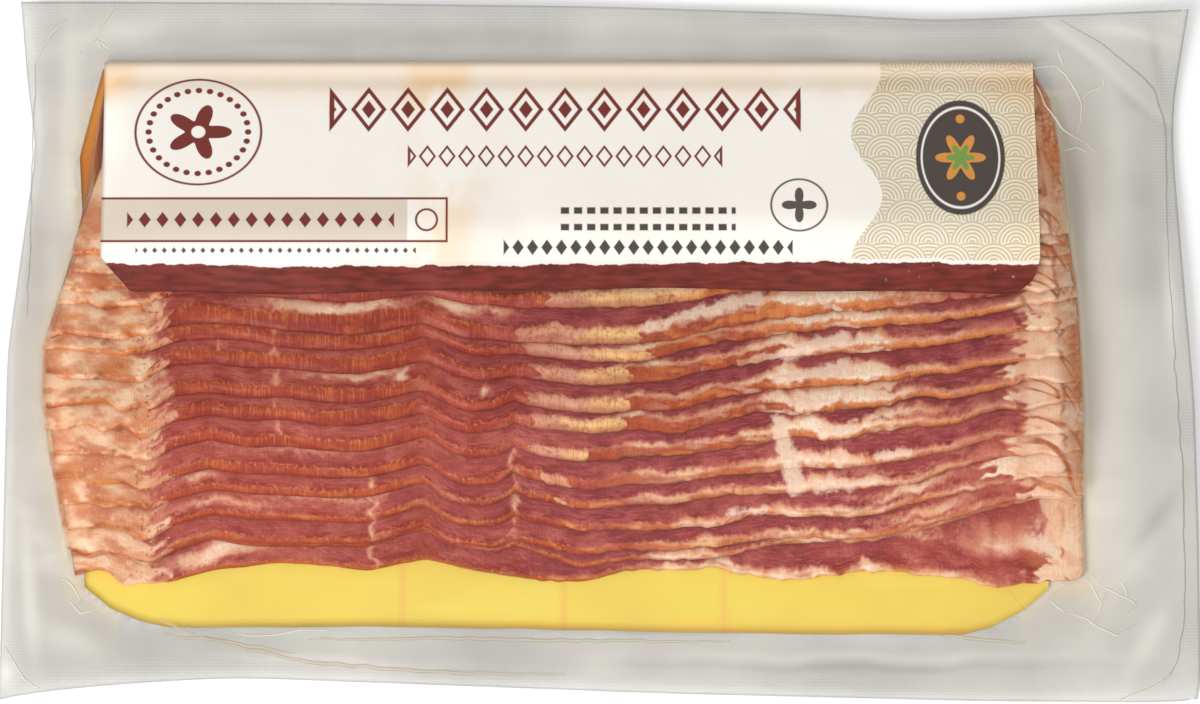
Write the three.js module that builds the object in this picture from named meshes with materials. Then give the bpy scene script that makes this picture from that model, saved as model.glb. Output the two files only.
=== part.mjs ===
// A vacuum pack of shingled bacon: sixteen slices lie on a card whose upper end is folded over them
// as a label flap, and a clear film bag with a wide flat margin is drawn tight around both.
// Millimetres, +Z up, lying on its back. X runs along the slices and +Y points to the card's fold.
// The origin is under the middle of the bag, on the surface that the pack lies on.
import * as THREE from "three";

// Film bag
const bagWidth = 276;
const bagDepth = 161;
const filmThickness = 0.35; // lower web under the card
const marginThickness = 0.6; // both webs, sealed together
const marginHeight = 2.2; // how far the margin floats above the table
const marginWave = 0.9;
const cornerCurl = 3.2;
const bagClearance = 0.9; // from the pocket's wall to what it holds
const baseInset = 3; // the flat base ends this far inside the pocket's wall
const rimWidth = 0.8;
const sidePoints = 30; // points along each of the bag's four sides

// Card
const cardThickness = 0.5;
const cardBottomZ = 0.6;
const cardFoldY = 66.7;
const foldInsideHeight = 2.6; // between the two panels at the fold
const flapEdgeY = 13.9;
const flapLeftX = -113.8;
const flapRightX = 99.4;
const flapCornerRadius = 9;
const flapGap = 0.45; // from the highest slices to the flap

// Slices
const sliceCount = 16;
const sliceThickness = 1.95;
const sliceGap = 0.3;
const sliceRestZ = 1.3; // underside of the lowest slice
const firstUpperEdgeY = -14.5; // hidden upper edge of the lowest slice
const lastUpperEdgeY = 63.2; // hidden upper edge of the topmost slice
const lowSlant = 1.4; // run of the slanted cut edge, lowest slice
const highSlant = 2.6; // the same where the slices lean most
const leaningSlice = 8; // from this slice up the pile has its full height
const leastStep = 0.6; // a slice's exposed edge stays this far behind the one below it
const endJitter = 0.7;

const upperPitch = (lastUpperEdgeY - firstUpperEdgeY) / (sliceCount - 1);
const layer = sliceThickness + sliceGap;
const lean = layer / upperPitch; // rise of a leaning slice for each millimetre of its width

// Outline of the bag, as [along, across] points of its four gently bowed sides
const halfWidth = bagWidth / 2;
const halfDepth = bagDepth / 2;
const bottomSide = [
  [-halfWidth, -79.8], [-131, -78.2], [-108, -76.1], [-84, -74.8], [-46, -76.2], [13, -78.4], [87, -80.2],
  [halfWidth - 4.3, -halfDepth], [halfWidth - 0.9, -79.6],
];
const rightSide = [
  [halfWidth - 0.9, -79.6], [halfWidth, -76.2], [137.6, -41], [136.6, -11], [134.2, 16], [131.7, 46], [131.8, 57],
  [135.2, 78.7],
];
const topSide = [[135.2, 78.7], [92, 76.8], [78, 76.2], [46, 78], [0, 79.4], [-60, 80.2], [-115, halfDepth], [-132.9, 80.4]];
const leftSide = [[-132.9, 80.4], [-131.3, 60], [-129.5, 47], [-132.2, 28], [-136.2, 0], [-137.1, -41], [-halfWidth, -79.8]];

// Left and right limits of the pile of slices, as [y, x]
const pileLeft = [
  [-53, -120.4], [-45, -121.8], [-34, -124], [-22, -126], [-11, -127.2], [1, -127.2], [12, -123.7], [24, -120],
  [35, -116.5], [43, -113.6], [66, -112.6],
];
const pileRight = [[-54, 111.6], [-34, 110.9], [-11, 110.5], [12, 109.3], [24, 107.5], [35, 106], [47, 105], [58, 102.9], [64, 99.3]];

// Left, right and lower limits of the card's back panel: [y, x], [y, x] and [x, y]
const backLeft = [[-65, -118.5], [30, -118.9], [45, -119.6], [cardFoldY, flapLeftX]];
const backRight = [[-65, 103.2], [50, 102.6], [cardFoldY, flapRightX]];
const backLower = [
  [-119, -54.2], [-113, -59], [-100, -63.4], [-45, -63.2], [25, -64.6], [83, -65.1], [90, -63.4], [97, -59.6], [103.2, -54.4],
];

// Shared cross-sections along X, at the places where the slices bend
const stations = [
  -109.2, -103.4, -97.7, -89.2, -80.4, -70, -59.7, -49.4, -40.2, -35.1, -29.8, -24.1, -19.5, -14.9, -4.5, 7, 16.2, 26.5, 36.9,
  46.1, 57.6, 69.1, 80.6, 92.1,
];

// Exposed edge of five of the slices, as [x, y]. The others lie between these.
const edgeRows = [
  {
    slice: 0,
    line: [
      [-120.7, -52], [-114.9, -50.6], [-109.2, -53.1], [-103.4, -54.3], [-97.7, -52.9], [-89.2, -50.6], [-73.5, -48.6],
      [-52.8, -50.1], [-40.2, -47.8], [-29.8, -50.1], [-11.4, -52.9], [-4.5, -52.7], [7, -49.7], [26.5, -49.7],
      [36.9, -52.2], [57.6, -50.4], [69.1, -50.6], [92.1, -53.6], [103.6, -53.6], [111.6, -51],
    ],
  },
  {
    slice: 1,
    line: [
      [-120.7, -46.5], [-114.9, -46.5], [-109.2, -47.4], [-103.4, -49], [-97.7, -46], [-89.2, -43], [-80.4, -44.4],
      [-52.8, -44.9], [-40.2, -40.9], [-35.1, -44.4], [-24.1, -46], [-19.5, -44.6], [-10, -47.6], [-4.5, -49.6],
      [7, -47.6], [16.2, -47.8], [26.5, -47.4], [36.9, -44.9], [57.6, -43.7], [69.1, -42.3], [82.9, -38.7],
      [92.1, -35.9], [103.6, -34.5], [111.6, -33.8],
    ],
  },
  {
    slice: 2,
    line: [
      [-120.7, -45.8], [-114.9, -45.8], [-109.2, -46.7], [-103.4, -48.3], [-97.7, -45.3], [-89.2, -42.3], [-80.4, -43.7],
      [-52.8, -44.2], [-40.2, -40.2], [-35.1, -43.7], [-24.1, -45.3], [-19.5, -43.2], [-4.5, -46.7], [7, -45.3],
      [16.2, -45.8], [36.9, -43.2], [57.6, -43], [69.1, -41.6], [82.9, -38], [92.1, -35.2], [103.6, -33.8], [111.6, -33.1],
    ],
  },
  {
    slice: 11,
    line: [
      [-120.7, 3.4], [-103.4, 3.5], [-97.7, 6.4], [-89.2, 6.7], [-80.4, 5.8], [-59.7, 3.7], [-45.9, 5.3], [-40.2, 6.7],
      [-29.8, 2.8], [-4.5, 1.6], [7, 1.4], [16.2, 2.3], [36.9, 7.6], [57.6, 9.5], [92.1, 12.9], [111.6, 15.4],
    ],
  },
  { slice: 15, line: [[-120.7, 22.5], [111.6, 27]] },
];
// How far each slice was laid from an even spacing
const unevenness = [0, 0, 0, -0.3, -0.1, -0.8, 0.2, 0.8, 0.5, 1.8, 1.9, 0, 2.5, 1.5, 0.8, 0];

// Thickness of the pile along X, as a share of its full thickness: it thins at both ends and at two creases
const fullness = [
  [-109.2, 0.9], [-103.4, 0.94], [-97.7, 0.98], [-59.7, 1], [-40.2, 0.97], [-29.8, 1], [-19.5, 0.96], [-4.5, 0.99],
  [26.5, 0.97], [57.6, 1], [80.6, 0.97], [92.1, 0.92],
];

// Value of a curve given by [x, value] points, straight between them
function valueAt(points, x) {
  if (x <= points[0][0]) return points[0][1];
  for (let i = 1; i < points.length; i++) {
    const [x1, v1] = points[i];
    if (x > x1) continue;
    const [x0, v0] = points[i - 1];
    return v0 + ((v1 - v0) * (x - x0)) / (x1 - x0);
  }
  return points[points.length - 1][1];
}

// The same curve read only at the shared cross-sections, so that neighbouring slices stay parallel
function stationValue(read, x) {
  const first = stations[0];
  const last = stations[stations.length - 1];
  if (x <= first || x >= last) return read(x);
  const i = stations.findIndex((s) => s > x);
  const share = (x - stations[i - 1]) / (stations[i] - stations[i - 1]);
  return read(stations[i - 1]) * (1 - share) + read(stations[i]) * share;
}

const fullnessAt = (x) => stationValue((s) => valueAt(fullness, s), x);
const upperEdge = (slice) => firstUpperEdgeY + slice * upperPitch;

function rawEdge(slice, x) {
  const i = Math.max(1, edgeRows.findIndex((row) => row.slice >= slice));
  const below = edgeRows[i - 1];
  const above = edgeRows[i];
  const share = (slice - below.slice) / (above.slice - below.slice);
  return valueAt(below.line, x) * (1 - share) + valueAt(above.line, x) * share + unevenness[slice];
}

// Y of a slice's exposed edge at x, always behind the edge of the slice below
function exposedEdge(slice, x) {
  let y = rawEdge(0, x);
  for (let k = 1; k <= slice; k++) y = Math.max(rawEdge(k, x), y + leastStep);
  return y;
}

// Height of a slice's underside above the card: stacked flat at first, leaning further up
function undersideAt(slice, x, y) {
  const stacked = slice * layer;
  const leaning = (upperEdge(slice) - y) * lean;
  return sliceRestZ + Math.max(0, Math.min(stacked, leaning)) * fullnessAt(x);
}

const slantOf = (slice) => lowSlant + (highSlant - lowSlant) * Math.min(1, slice / leaningSlice);
const thicknessAt = (x) => sliceThickness * fullnessAt(x);

// Top of the pile at (x, y), or the card where no slice lies
function pileTop(x, y) {
  let top = cardBottomZ + cardThickness;
  for (let k = 0; k < sliceCount; k++) {
    const edge = exposedEdge(k, x);
    if (y < edge || y > upperEdge(k)) continue;
    const rise = Math.min(1, (y - edge + 0.3) / slantOf(k));
    top = Math.max(top, undersideAt(k, x, y) + thicknessAt(x) * rise);
  }
  return top;
}

// Closed mesh from vertices and triangles
function solidOf(vertices, triangles) {
  const geometry = new THREE.BufferGeometry();
  geometry.setAttribute("position", new THREE.Float32BufferAttribute(vertices.flat(), 3));
  geometry.setIndex(triangles.flat());
  geometry.computeVertexNormals();
  return geometry;
}

// Solid swept through sections. A section is a list of pairs [upper point, lower point], alike in number.
// Each four-cornered patch is split along its higher diagonal, so stacked pieces bend the same way.
function sweptSolid(sections) {
  const vertices = [];
  const triangles = [];
  const pairs = sections[0].length;
  const loop = 2 * pairs;
  sections.forEach((section) => {
    section.forEach(([upper]) => vertices.push(upper));
    [...section].reverse().forEach(([, lower]) => vertices.push(lower));
  });
  for (let i = 0; i + 1 < sections.length; i++) {
    for (let j = 0; j < loop; j++) {
      const a = i * loop + j;
      const b = i * loop + ((j + 1) % loop);
      const [c, d] = [a + loop, b + loop];
      const firstIsHigher = vertices[b][2] + vertices[c][2] >= vertices[a][2] + vertices[d][2];
      if (firstIsHigher) triangles.push([a, c, b], [b, c, d]);
      else triangles.push([a, c, d], [a, d, b]);
    }
  }
  const end = (sections.length - 1) * loop;
  for (let j = 0; j + 1 < pairs; j++) {
    const opposite = loop - 1 - j;
    triangles.push([j, j + 1, opposite], [j + 1, opposite - 1, opposite]);
    triangles.push([end + j, end + opposite, end + j + 1], [end + j + 1, end + opposite, end + opposite - 1]);
  }
  return solidOf(vertices, triangles);
}

// Solid from closed rings of points with a point at each pole
function ringedSolid(firstPole, rings, lastPole) {
  const count = rings[0].length;
  const vertices = [firstPole, ...rings.flat(), lastPole];
  const last = vertices.length - 1;
  const triangles = [];
  for (let j = 0; j < count; j++) {
    const next = (j + 1) % count;
    triangles.push([0, 1 + next, 1 + j]);
    for (let i = 0; i + 1 < rings.length; i++) {
      const a = 1 + i * count;
      const b = a + count;
      triangles.push([a + j, a + next, b + j], [a + next, b + next, b + j]);
    }
    const top = last - count;
    triangles.push([top + j, top + next, last]);
  }
  return solidOf(vertices, triangles);
}

// One slice: a long strip with a slanted cut edge, leaning on the slices below it
function sliceSolid(slice) {
  const upper = upperEdge(slice);
  const slant = slantOf(slice);
  const kink = firstUpperEdgeY;
  const jitter = endJitter * Math.sin(slice * 2.4);
  const depths = (x) => {
    const edge = exposedEdge(slice, x);
    const kinkInCut = kink > edge + 0.8 && kink < edge + slant + 0.8;
    const second = kinkInCut ? kink : edge + slant;
    const third = Math.max(kink, second + 0.8);
    return [edge, second, third, (third + upper) / 2, upper];
  };
  const section = (xOf, seed) => {
    const ys = depths(seed);
    return ys.map((y, i) => {
      const x = xOf(y);
      const low = undersideAt(slice, x, y);
      const upperY = i === 0 ? y + slant * 0.3 : y;
      const share = i === 0 ? 0.55 : 1;
      const high = undersideAt(slice, x, upperY) + thicknessAt(x) * share;
      return [[x, upperY, high], [x, y, low]];
    });
  };
  const leftOf = (y) => valueAt(pileLeft, y) + jitter;
  const rightOf = (y) => valueAt(pileRight, y) - jitter * 0.6;
  const leftSeed = leftOf(rawEdge(slice, pileLeft[0][1]));
  const rightSeed = rightOf(rawEdge(slice, pileRight[0][1]));
  return sweptSolid([
    section(leftOf, leftSeed),
    ...stations.map((x) => section(() => x, x)),
    section(rightOf, rightSeed),
  ]);
}

// Height of the flap's underside: it rides over the highest slice edges near (x, y)
function flapUnderside(x, y) {
  let top = 0;
  for (let dx = -3; dx <= 3; dx += 1.5) {
    for (let dy = -3; dy <= 3; dy += 1) top = Math.max(top, pileTop(x + dx, y + dy));
  }
  return top + flapGap;
}

// The card: back panel, round fold and label flap in one bent sheet
function cardSolid() {
  const backTop = cardBottomZ + cardThickness;
  const foldRadius = foldInsideHeight / 2;
  const foldCentreY = cardFoldY - cardThickness - foldRadius;
  const foldCentreZ = backTop + foldRadius;
  const arcSteps = 4;
  const flapRows = 9;
  const flapLower = (x) => {
    const fromSide = Math.min(x - flapLeftX, flapRightX - x);
    const inside = Math.max(0, flapCornerRadius - fromSide);
    return flapEdgeY + flapCornerRadius - Math.sqrt(flapCornerRadius ** 2 - inside ** 2);
  };
  const section = (backX, flapX) => {
    const lower = valueAt(backLower, backX);
    const pairs = [];
    [0, 0.5, 1].forEach((share) => {
      const y = lower + (foldCentreY - 6 - lower) * share;
      const x = THREE.MathUtils.clamp(backX, valueAt(backLeft, y), valueAt(backRight, y));
      pairs.push([[x, y, backTop], [x, y, cardBottomZ]]);
    });
    for (let i = 0; i <= arcSteps; i++) {
      const angle = (Math.PI * i) / arcSteps - Math.PI / 2;
      const point = (radius) => [
        flapX,
        foldCentreY + radius * Math.cos(angle),
        foldCentreZ + radius * Math.sin(angle),
      ];
      pairs.push([point(foldRadius), point(foldRadius + cardThickness)]);
    }
    const edge = flapLower(flapX);
    for (let i = 1; i <= flapRows; i++) {
      const y = foldCentreY + ((edge - foldCentreY) * i) / flapRows;
      const z = Math.max(flapUnderside(flapX, y), backTop + foldInsideHeight);
      pairs.push([[flapX, y, z], [flapX, y, z + cardThickness]]);
    }
    return pairs;
  };
  const cornerSteps = [0, 2, 5];
  const inner = stations.filter((x) => x > flapLeftX + 7 && x < flapRightX - 7);
  return sweptSolid([
    ...cornerSteps.map((step) => section(valueAt(backLeft, 0) + step * 1.6, flapLeftX + step)),
    ...inner.map((x) => section(x, x)),
    ...[...cornerSteps].reverse().map((step) => section(valueAt(backRight, 0) - step * 1.3, flapRightX - step)),
  ]);
}

// A bowed side of the bag as evenly spaced points, without its last one
function sidePath(points) {
  const curve = new THREE.CatmullRomCurve3(
    points.map(([x, y]) => new THREE.Vector3(x, y, 0)),
    false,
    "centripetal",
  );
  return curve.getSpacedPoints(sidePoints).slice(0, -1).map((p) => [p.x, p.y]);
}

// Evenly spaced points along straight pieces, without the last one
function straightPath(points) {
  const path = new THREE.CurvePath();
  for (let i = 1; i < points.length; i++) {
    path.add(new THREE.LineCurve(new THREE.Vector2(...points[i - 1]), new THREE.Vector2(...points[i])));
  }
  return Array.from({ length: sidePoints }, (_, i) => {
    const p = path.getPointAt(i / sidePoints);
    return [p.x, p.y];
  });
}

// The pocket that the card and the slices fill, as a closed loop of the same number of points
function pocketLoop() {
  const c = bagClearance;
  const lowest = backLower.map(([x, y]) => [x, y - c]).slice(1, -1);
  const right = pileRight.map(([y, x]) => [x + c + endJitter, y]);
  const left = pileLeft.map(([y, x]) => [x - c - endJitter, y]).filter(([, y]) => y < 30).reverse();
  const bottomLeft = [pileLeft[0][1] - c - endJitter, pileLeft[0][0] - 2];
  const bottomRight = [right[0][0], right[0][1] - 1.5];
  const topRight = [backRight[2][1] + c + 1, cardFoldY + c];
  const topLeft = [flapLeftX - c, cardFoldY + c];
  const shoulder = backLeft.slice(1, 3).map(([y, x]) => [x - c - 1.6, y]).reverse();
  return [
    ...straightPath([bottomLeft, ...lowest, bottomRight]),
    ...straightPath([bottomRight, ...right.slice(0, -1), topRight]),
    ...straightPath([topRight, topLeft]),
    ...straightPath([topLeft, ...shoulder, ...left, bottomLeft]),
  ];
}

// Height of the margin's underside: it floats, waves a little and curls up at the corners
function marginZ(x, y) {
  const wave = Math.sin(x * 0.055 + 0.6) * Math.cos(y * 0.06 - 0.4);
  const corner = Math.pow(Math.abs(x) / halfWidth, 6) * Math.pow(Math.abs(y) / halfDepth, 4);
  return marginHeight + marginWave * wave + cornerCurl * corner;
}

// The film bag: flat base, floating sealed margin, and a skirt that climbs the sides of what it holds
function bagSolid() {
  const outer = [bottomSide, rightSide, topSide, leftSide].flatMap(sidePath);
  const pocket = pocketLoop();
  const between = (share) => pocket.map(([x, y], i) => [x + (outer[i][0] - x) * share, y + (outer[i][1] - y) * share]);
  const inset = (distance) =>
    pocket.map(([x, y]) => {
      const length = Math.hypot(x, y);
      return [x * (1 - distance / length), y * (1 - distance / length)];
    });
  const rimZ = pocket.map(([x, y]) => {
    const insideX = THREE.MathUtils.clamp(x, valueAt(pileLeft, y) + 1, valueAt(pileRight, y) - 1);
    const insideY = THREE.MathUtils.clamp(y, valueAt(backLower, x) + 1, cardFoldY - 4);
    const underFlap = y > cardFoldY ? foldInsideHeight + cardThickness : 0;
    return Math.max(pileTop(insideX, insideY) * 0.9, cardBottomZ + 2 * cardThickness + underFlap);
  });
  const ring = (points, z) => points.map(([x, y], i) => [x, y, z(x, y, i)]);
  const skirt = (fall) => (x, y, i) => marginZ(x, y) + marginThickness + Math.max(0, rimZ[i] - marginHeight) * fall;
  const shares = [0.3, 0.65, 1];
  return ringedSolid(
    [0, 0, 0],
    [
      ring(inset(baseInset), () => 0),
      ring(pocket, () => 0),
      ring(between(shares[0]), (x, y) => marginZ(x, y) * 0.6),
      ring(between(shares[1]), marginZ),
      ring(between(shares[2]), marginZ),
      ring(between(shares[2]), (x, y) => marginZ(x, y) + marginThickness),
      ring(between(shares[1]), skirt(0.03)),
      ring(between(shares[0]), skirt(0.22)),
      ring(inset(-rimWidth * 2.5), skirt(0.72)),
      ring(inset(-rimWidth), (x, y, i) => rimZ[i]),
      ring(pocket, (x, y, i) => rimZ[i]),
      ring(pocket, () => filmThickness),
    ],
    [0, 0, filmThickness],
  );
}

const filmMaterial = new THREE.MeshStandardMaterial({
  color: 0xc9c6c0,
  roughness: 0.25,
  metalness: 0,
  transparent: true,
  opacity: 0.5,
});
const cardMaterial = new THREE.MeshStandardMaterial({ color: 0xf6dc66, roughness: 0.55, metalness: 0 });
const meatMaterial = new THREE.MeshStandardMaterial({ color: 0xa8524a, roughness: 0.4, metalness: 0 });

const pack = new THREE.Group();

function addPiece(name, geometry, material) {
  const mesh = new THREE.Mesh(geometry, material);
  mesh.name = name;
  pack.add(mesh);
}

addPiece("film_bag", bagSolid(), filmMaterial);
addPiece("label_card", cardSolid(), cardMaterial);
for (let k = 0; k < sliceCount; k++) {
  addPiece(`bacon_slice_${String(k + 1).padStart(2, "0")}`, sliceSolid(k), meatMaterial);
}

// The bag's sides are curves through measured points, so the whole is centred on the origin at the end
const box = new THREE.Box3().setFromObject(pack);
const centre = box.getCenter(new THREE.Vector3());
pack.children.forEach((mesh) => mesh.geometry.translate(-centre.x, -centre.y, -box.min.z));

export default pack;
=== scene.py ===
import math

import bpy
import numpy as np
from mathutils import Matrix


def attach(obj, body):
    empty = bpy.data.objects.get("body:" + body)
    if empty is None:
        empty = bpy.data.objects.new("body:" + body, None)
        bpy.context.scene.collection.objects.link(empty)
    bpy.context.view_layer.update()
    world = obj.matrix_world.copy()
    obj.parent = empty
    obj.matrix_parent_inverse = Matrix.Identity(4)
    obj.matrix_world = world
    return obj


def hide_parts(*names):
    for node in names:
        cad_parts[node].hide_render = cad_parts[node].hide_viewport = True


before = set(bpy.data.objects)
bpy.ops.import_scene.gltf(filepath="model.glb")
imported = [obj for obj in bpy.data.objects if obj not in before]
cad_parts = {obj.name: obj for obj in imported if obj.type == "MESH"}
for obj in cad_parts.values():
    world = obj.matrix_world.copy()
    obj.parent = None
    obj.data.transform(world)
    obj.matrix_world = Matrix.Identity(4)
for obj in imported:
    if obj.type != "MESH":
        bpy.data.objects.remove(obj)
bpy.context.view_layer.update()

mm = 0.001
print("frame loaded:", len(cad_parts), "nodes")

# small helpers


# value noise from -1 to 1: a random number at each whole point, blended between them by 3t^2 - 2t^3
def latticeNoise(x, y, seed):
    table = np.random.default_rng(seed).uniform(-1, 1, (256, 256))
    x, y = np.broadcast_arrays(np.asarray(x, float), np.asarray(y, float))
    x0, y0 = np.floor(x).astype(int), np.floor(y).astype(int)
    tx, ty = x - x0, y - y0
    tx, ty = tx * tx * (3 - 2 * tx), ty * ty * (3 - 2 * ty)
    a, b = table[x0 % 256, y0 % 256], table[(x0 + 1) % 256, y0 % 256]
    c, d = table[x0 % 256, (y0 + 1) % 256], table[(x0 + 1) % 256, (y0 + 1) % 256]
    return (a * (1 - tx) + b * tx) * (1 - ty) + (c * (1 - tx) + d * tx) * ty


# three octaves of that noise, each twice as fine and half as strong
def cloudNoise(x, y, seed):
    parts = [latticeNoise(x * 2**i, y * 2**i, seed + i) / 2**i for i in range(3)]
    return sum(parts) / 1.75


# 0 below low, 1 above high, 3t^2 - 2t^3 between
def ease(low, high, value):
    t = np.clip((np.asarray(value, float) - low) / (high - low), 0, 1)
    return t * t * (3 - 2 * t)


# value at x of a curve given as (x, value) pairs, straight between them
def along(pairs, x):
    xs, values = zip(*pairs)
    return np.interp(x, xs, values)


# running mean over a few samples, done three times, so that corners become round
def soften(values, reach):
    kernel = np.ones(2 * reach + 1) / (2 * reach + 1)
    for _ in range(3):
        values = np.convolve(np.pad(values, reach, mode="edge"), kernel, mode="valid")
    return values


# mesh object from points in mm and a list of faces; each attribute has a number or three for every point
def meshFrom(name, points, faces, attributes, materials, faceMaterial=None):
    mesh = bpy.data.meshes.new(name)
    mesh.from_pydata((points.reshape(-1, 3) * mm).tolist(), [], list(map(list, faces)))
    for key, values in attributes.items():
        values = np.asarray(values, np.float32)
        if values.shape[-1] == 3 and values.ndim == points.ndim:
            mesh.attributes.new(key, "FLOAT_VECTOR", "POINT").data.foreach_set("vector", values.ravel())
        else:
            mesh.attributes.new(key, "FLOAT", "POINT").data.foreach_set("value", values.ravel())
    for material in materials:
        mesh.materials.append(material)
    if faceMaterial is not None:
        mesh.polygons.foreach_set("material_index", np.asarray(faceMaterial, np.int32))
    mesh.polygons.foreach_set("use_smooth", np.ones(len(mesh.polygons), bool))
    mesh.update()
    piece = bpy.data.objects.new(name, mesh)
    bpy.context.scene.collection.objects.link(piece)
    return piece


# quads of a grid: each joins a point with its neighbours in the next row and column;
# a loop also joins the last column to the first
def gridQuads(rows, columns, start=0, loop=False):
    i, j = np.meshgrid(np.arange(rows - 1), np.arange(columns if loop else columns - 1), indexing="ij")
    n = (j + 1) % columns
    a, b = i * columns, (i + 1) * columns
    return np.stack([a + j, a + n, b + n, b + j], -1).reshape(-1, 4) + start


# shader maths


# one socket that takes part in Python sums: each operator adds a Math node
class Wire:
    def __init__(self, kit, socket):
        self.kit, self.socket = kit, socket

    def __add__(self, other):
        return self.kit.maths("ADD", self, other)

    def __sub__(self, other):
        return self.kit.maths("SUBTRACT", self, other)

    def __rsub__(self, other):
        return self.kit.maths("SUBTRACT", other, self)

    def __mul__(self, other):
        return self.kit.maths("MULTIPLY", self, other)

    def __truediv__(self, other):
        return self.kit.maths("DIVIDE", self, other)

    def __pow__(self, other):
        return self.kit.maths("POWER", self, other)

    def __abs__(self):
        return self.kit.maths("ABSOLUTE", self)

    __radd__ = __add__
    __rmul__ = __mul__


# one material's node tree; node() adds any node to it, and the other methods are short forms of that
class Kit:
    def __init__(self, name):
        self.material = bpy.data.materials.new(name)
        self.material.use_nodes = True
        self.tree = self.material.node_tree
        self.tree.nodes.clear()

    def node(self, kind, settings=None, inputs=None, output=0):
        made = self.tree.nodes.new(kind)
        for key, value in (settings or {}).items():
            setattr(made, key, value)
        for key, value in (inputs or {}).items():
            if isinstance(value, Wire):
                self.tree.links.new(value.socket, made.inputs[key])
            else:
                made.inputs[key].default_value = value
        return Wire(self, made.outputs[output]) if made.outputs else None

    def maths(self, operation, *values):
        return self.node("ShaderNodeMath", {"operation": operation}, dict(enumerate(values)))

    def least(self, a, b):
        return self.maths("MINIMUM", a, b)

    def most(self, a, b):
        return self.maths("MAXIMUM", a, b)

    # 0 at low, 1 at high and beyond, smooth between; low may be the larger one
    def rise(self, low, high, value):
        smooth = {"interpolation_type": "SMOOTHSTEP"}
        return self.node("ShaderNodeMapRange", smooth, {0: value, 1: low, 2: high})

    def blend(self, share, first, second, mode="MIX"):
        settings = {"data_type": "RGBA", "blend_type": mode}
        return self.node("ShaderNodeMix", settings, {0: share, 6: first, 7: second}, 2)

    def noise(self, vector, scale, detail=2.0, roughness=0.5):
        sockets = {"Vector": vector, "Scale": scale, "Detail": detail, "Roughness": roughness}
        return self.node("ShaderNodeTexNoise", {}, sockets)

    # the place a texture reads, with each axis times its factor
    def stretch(self, vector, factors):
        return self.node("ShaderNodeVectorMath", {"operation": "MULTIPLY"}, {0: vector, 1: factors})

    # a mesh attribute with one number, and one with three
    def fact(self, name):
        return self.node("ShaderNodeAttribute", {"attribute_name": name}, {}, 2)

    def vector(self, name):
        return self.node("ShaderNodeAttribute", {"attribute_name": name}, {}, 1)

    def axes(self, vector):
        return [self.node("ShaderNodeSeparateXYZ", {}, {0: vector}, i) for i in range(3)]

    def join(self, x, y, z):
        return self.node("ShaderNodeCombineXYZ", {}, {0: x, 1: y, 2: z})

    # object coordinates in mm
    def inMm(self):
        place = self.node("ShaderNodeTexCoord", {}, {}, 3)
        return self.node("ShaderNodeVectorMath", {"operation": "SCALE"}, {0: place, 3: 1000.0})

    def bump(self, height, strength, distance):
        return self.node("ShaderNodeBump", {}, {"Strength": strength, "Distance": distance, "Height": height})

    # one Principled shader with these sockets, written with _ for each space
    def finish(self, **sockets):
        named = {key.replace("_", " "): value for key, value in sockets.items()}
        shader = self.node("ShaderNodeBsdfPrincipled", {}, named)
        self.node("ShaderNodeOutputMaterial", {}, {"Surface": shader})
        return self.material


# a colour as it looks on screen, 0 to 255, turned into the light that shaders work in; the light that a wet
# surface mirrors and the strength of the lamps are taken off, so that the colour comes out as written
def tint(red, green, blue, mirrored=0.0, light=1.0):
    c = np.array([red, green, blue]) / 255
    linear = np.where(c <= 0.04045, c / 12.92, ((c + 0.055) / 1.055) ** 2.4)
    return (*[float(v) for v in np.clip((linear - mirrored) / light, 0.002, 1.0)], 1.0)


# camera, light and floor

studio = {
    "photoWidth": 276.0,  # mm across the photograph at the bag's margin
    "cameraHeight": 2500.0,  # mm
    "sensor": 36.0,
    "skyStrength": 0.62,
    "lampSize": 1.1,  # metres
    "lampPlace": (-0.95, -0.95, 1.3),
    "lampWatts": 26.0,
    "floor": (1.0, 1.0, 1.0, 1.0),
    "floorHalf": 2000.0,  # mm
}


# camera straight above, one large soft lamp from the front left, a white sky and a white floor
def makeStudio():
    camera = bpy.data.objects.new("camera", bpy.data.cameras.new("camera"))
    camera.location = (0, 0, studio["cameraHeight"] * mm)
    camera.data.sensor_width = studio["sensor"]
    camera.data.lens = studio["sensor"] * studio["cameraHeight"] / studio["photoWidth"]
    bpy.context.scene.collection.objects.link(camera)
    bpy.context.scene.camera = camera
    lamp = bpy.data.objects.new("lamp", bpy.data.lights.new("lamp", "AREA"))
    lamp.data.size = studio["lampSize"]
    lamp.data.energy = studio["lampWatts"]
    lamp.location = studio["lampPlace"]
    toMiddle = -lamp.location
    lamp.rotation_euler = toMiddle.to_track_quat("-Z", "Y").to_euler()
    bpy.context.scene.collection.objects.link(lamp)
    world = bpy.data.worlds.new("sky")
    world.use_nodes = True
    world.node_tree.nodes["Background"].inputs["Color"].default_value = (1, 1, 1, 1)
    world.node_tree.nodes["Background"].inputs["Strength"].default_value = studio["skyStrength"]
    bpy.context.scene.world = world
    bpy.context.scene.view_settings.view_transform = "Standard"
    half = studio["floorHalf"]
    corners = np.array([[-half, -half, 0], [half, -half, 0], [half, half, 0], [-half, half, 0]])
    paper = Kit("floor").finish(Base_Color=studio["floor"], Roughness=0.9)
    floor = meshFrom("floor", corners, [[0, 1, 2, 3]], {}, [paper])


makeStudio()
print("studio ready")

# the pile of slices: mm, x along the slices, y towards the card's fold

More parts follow.
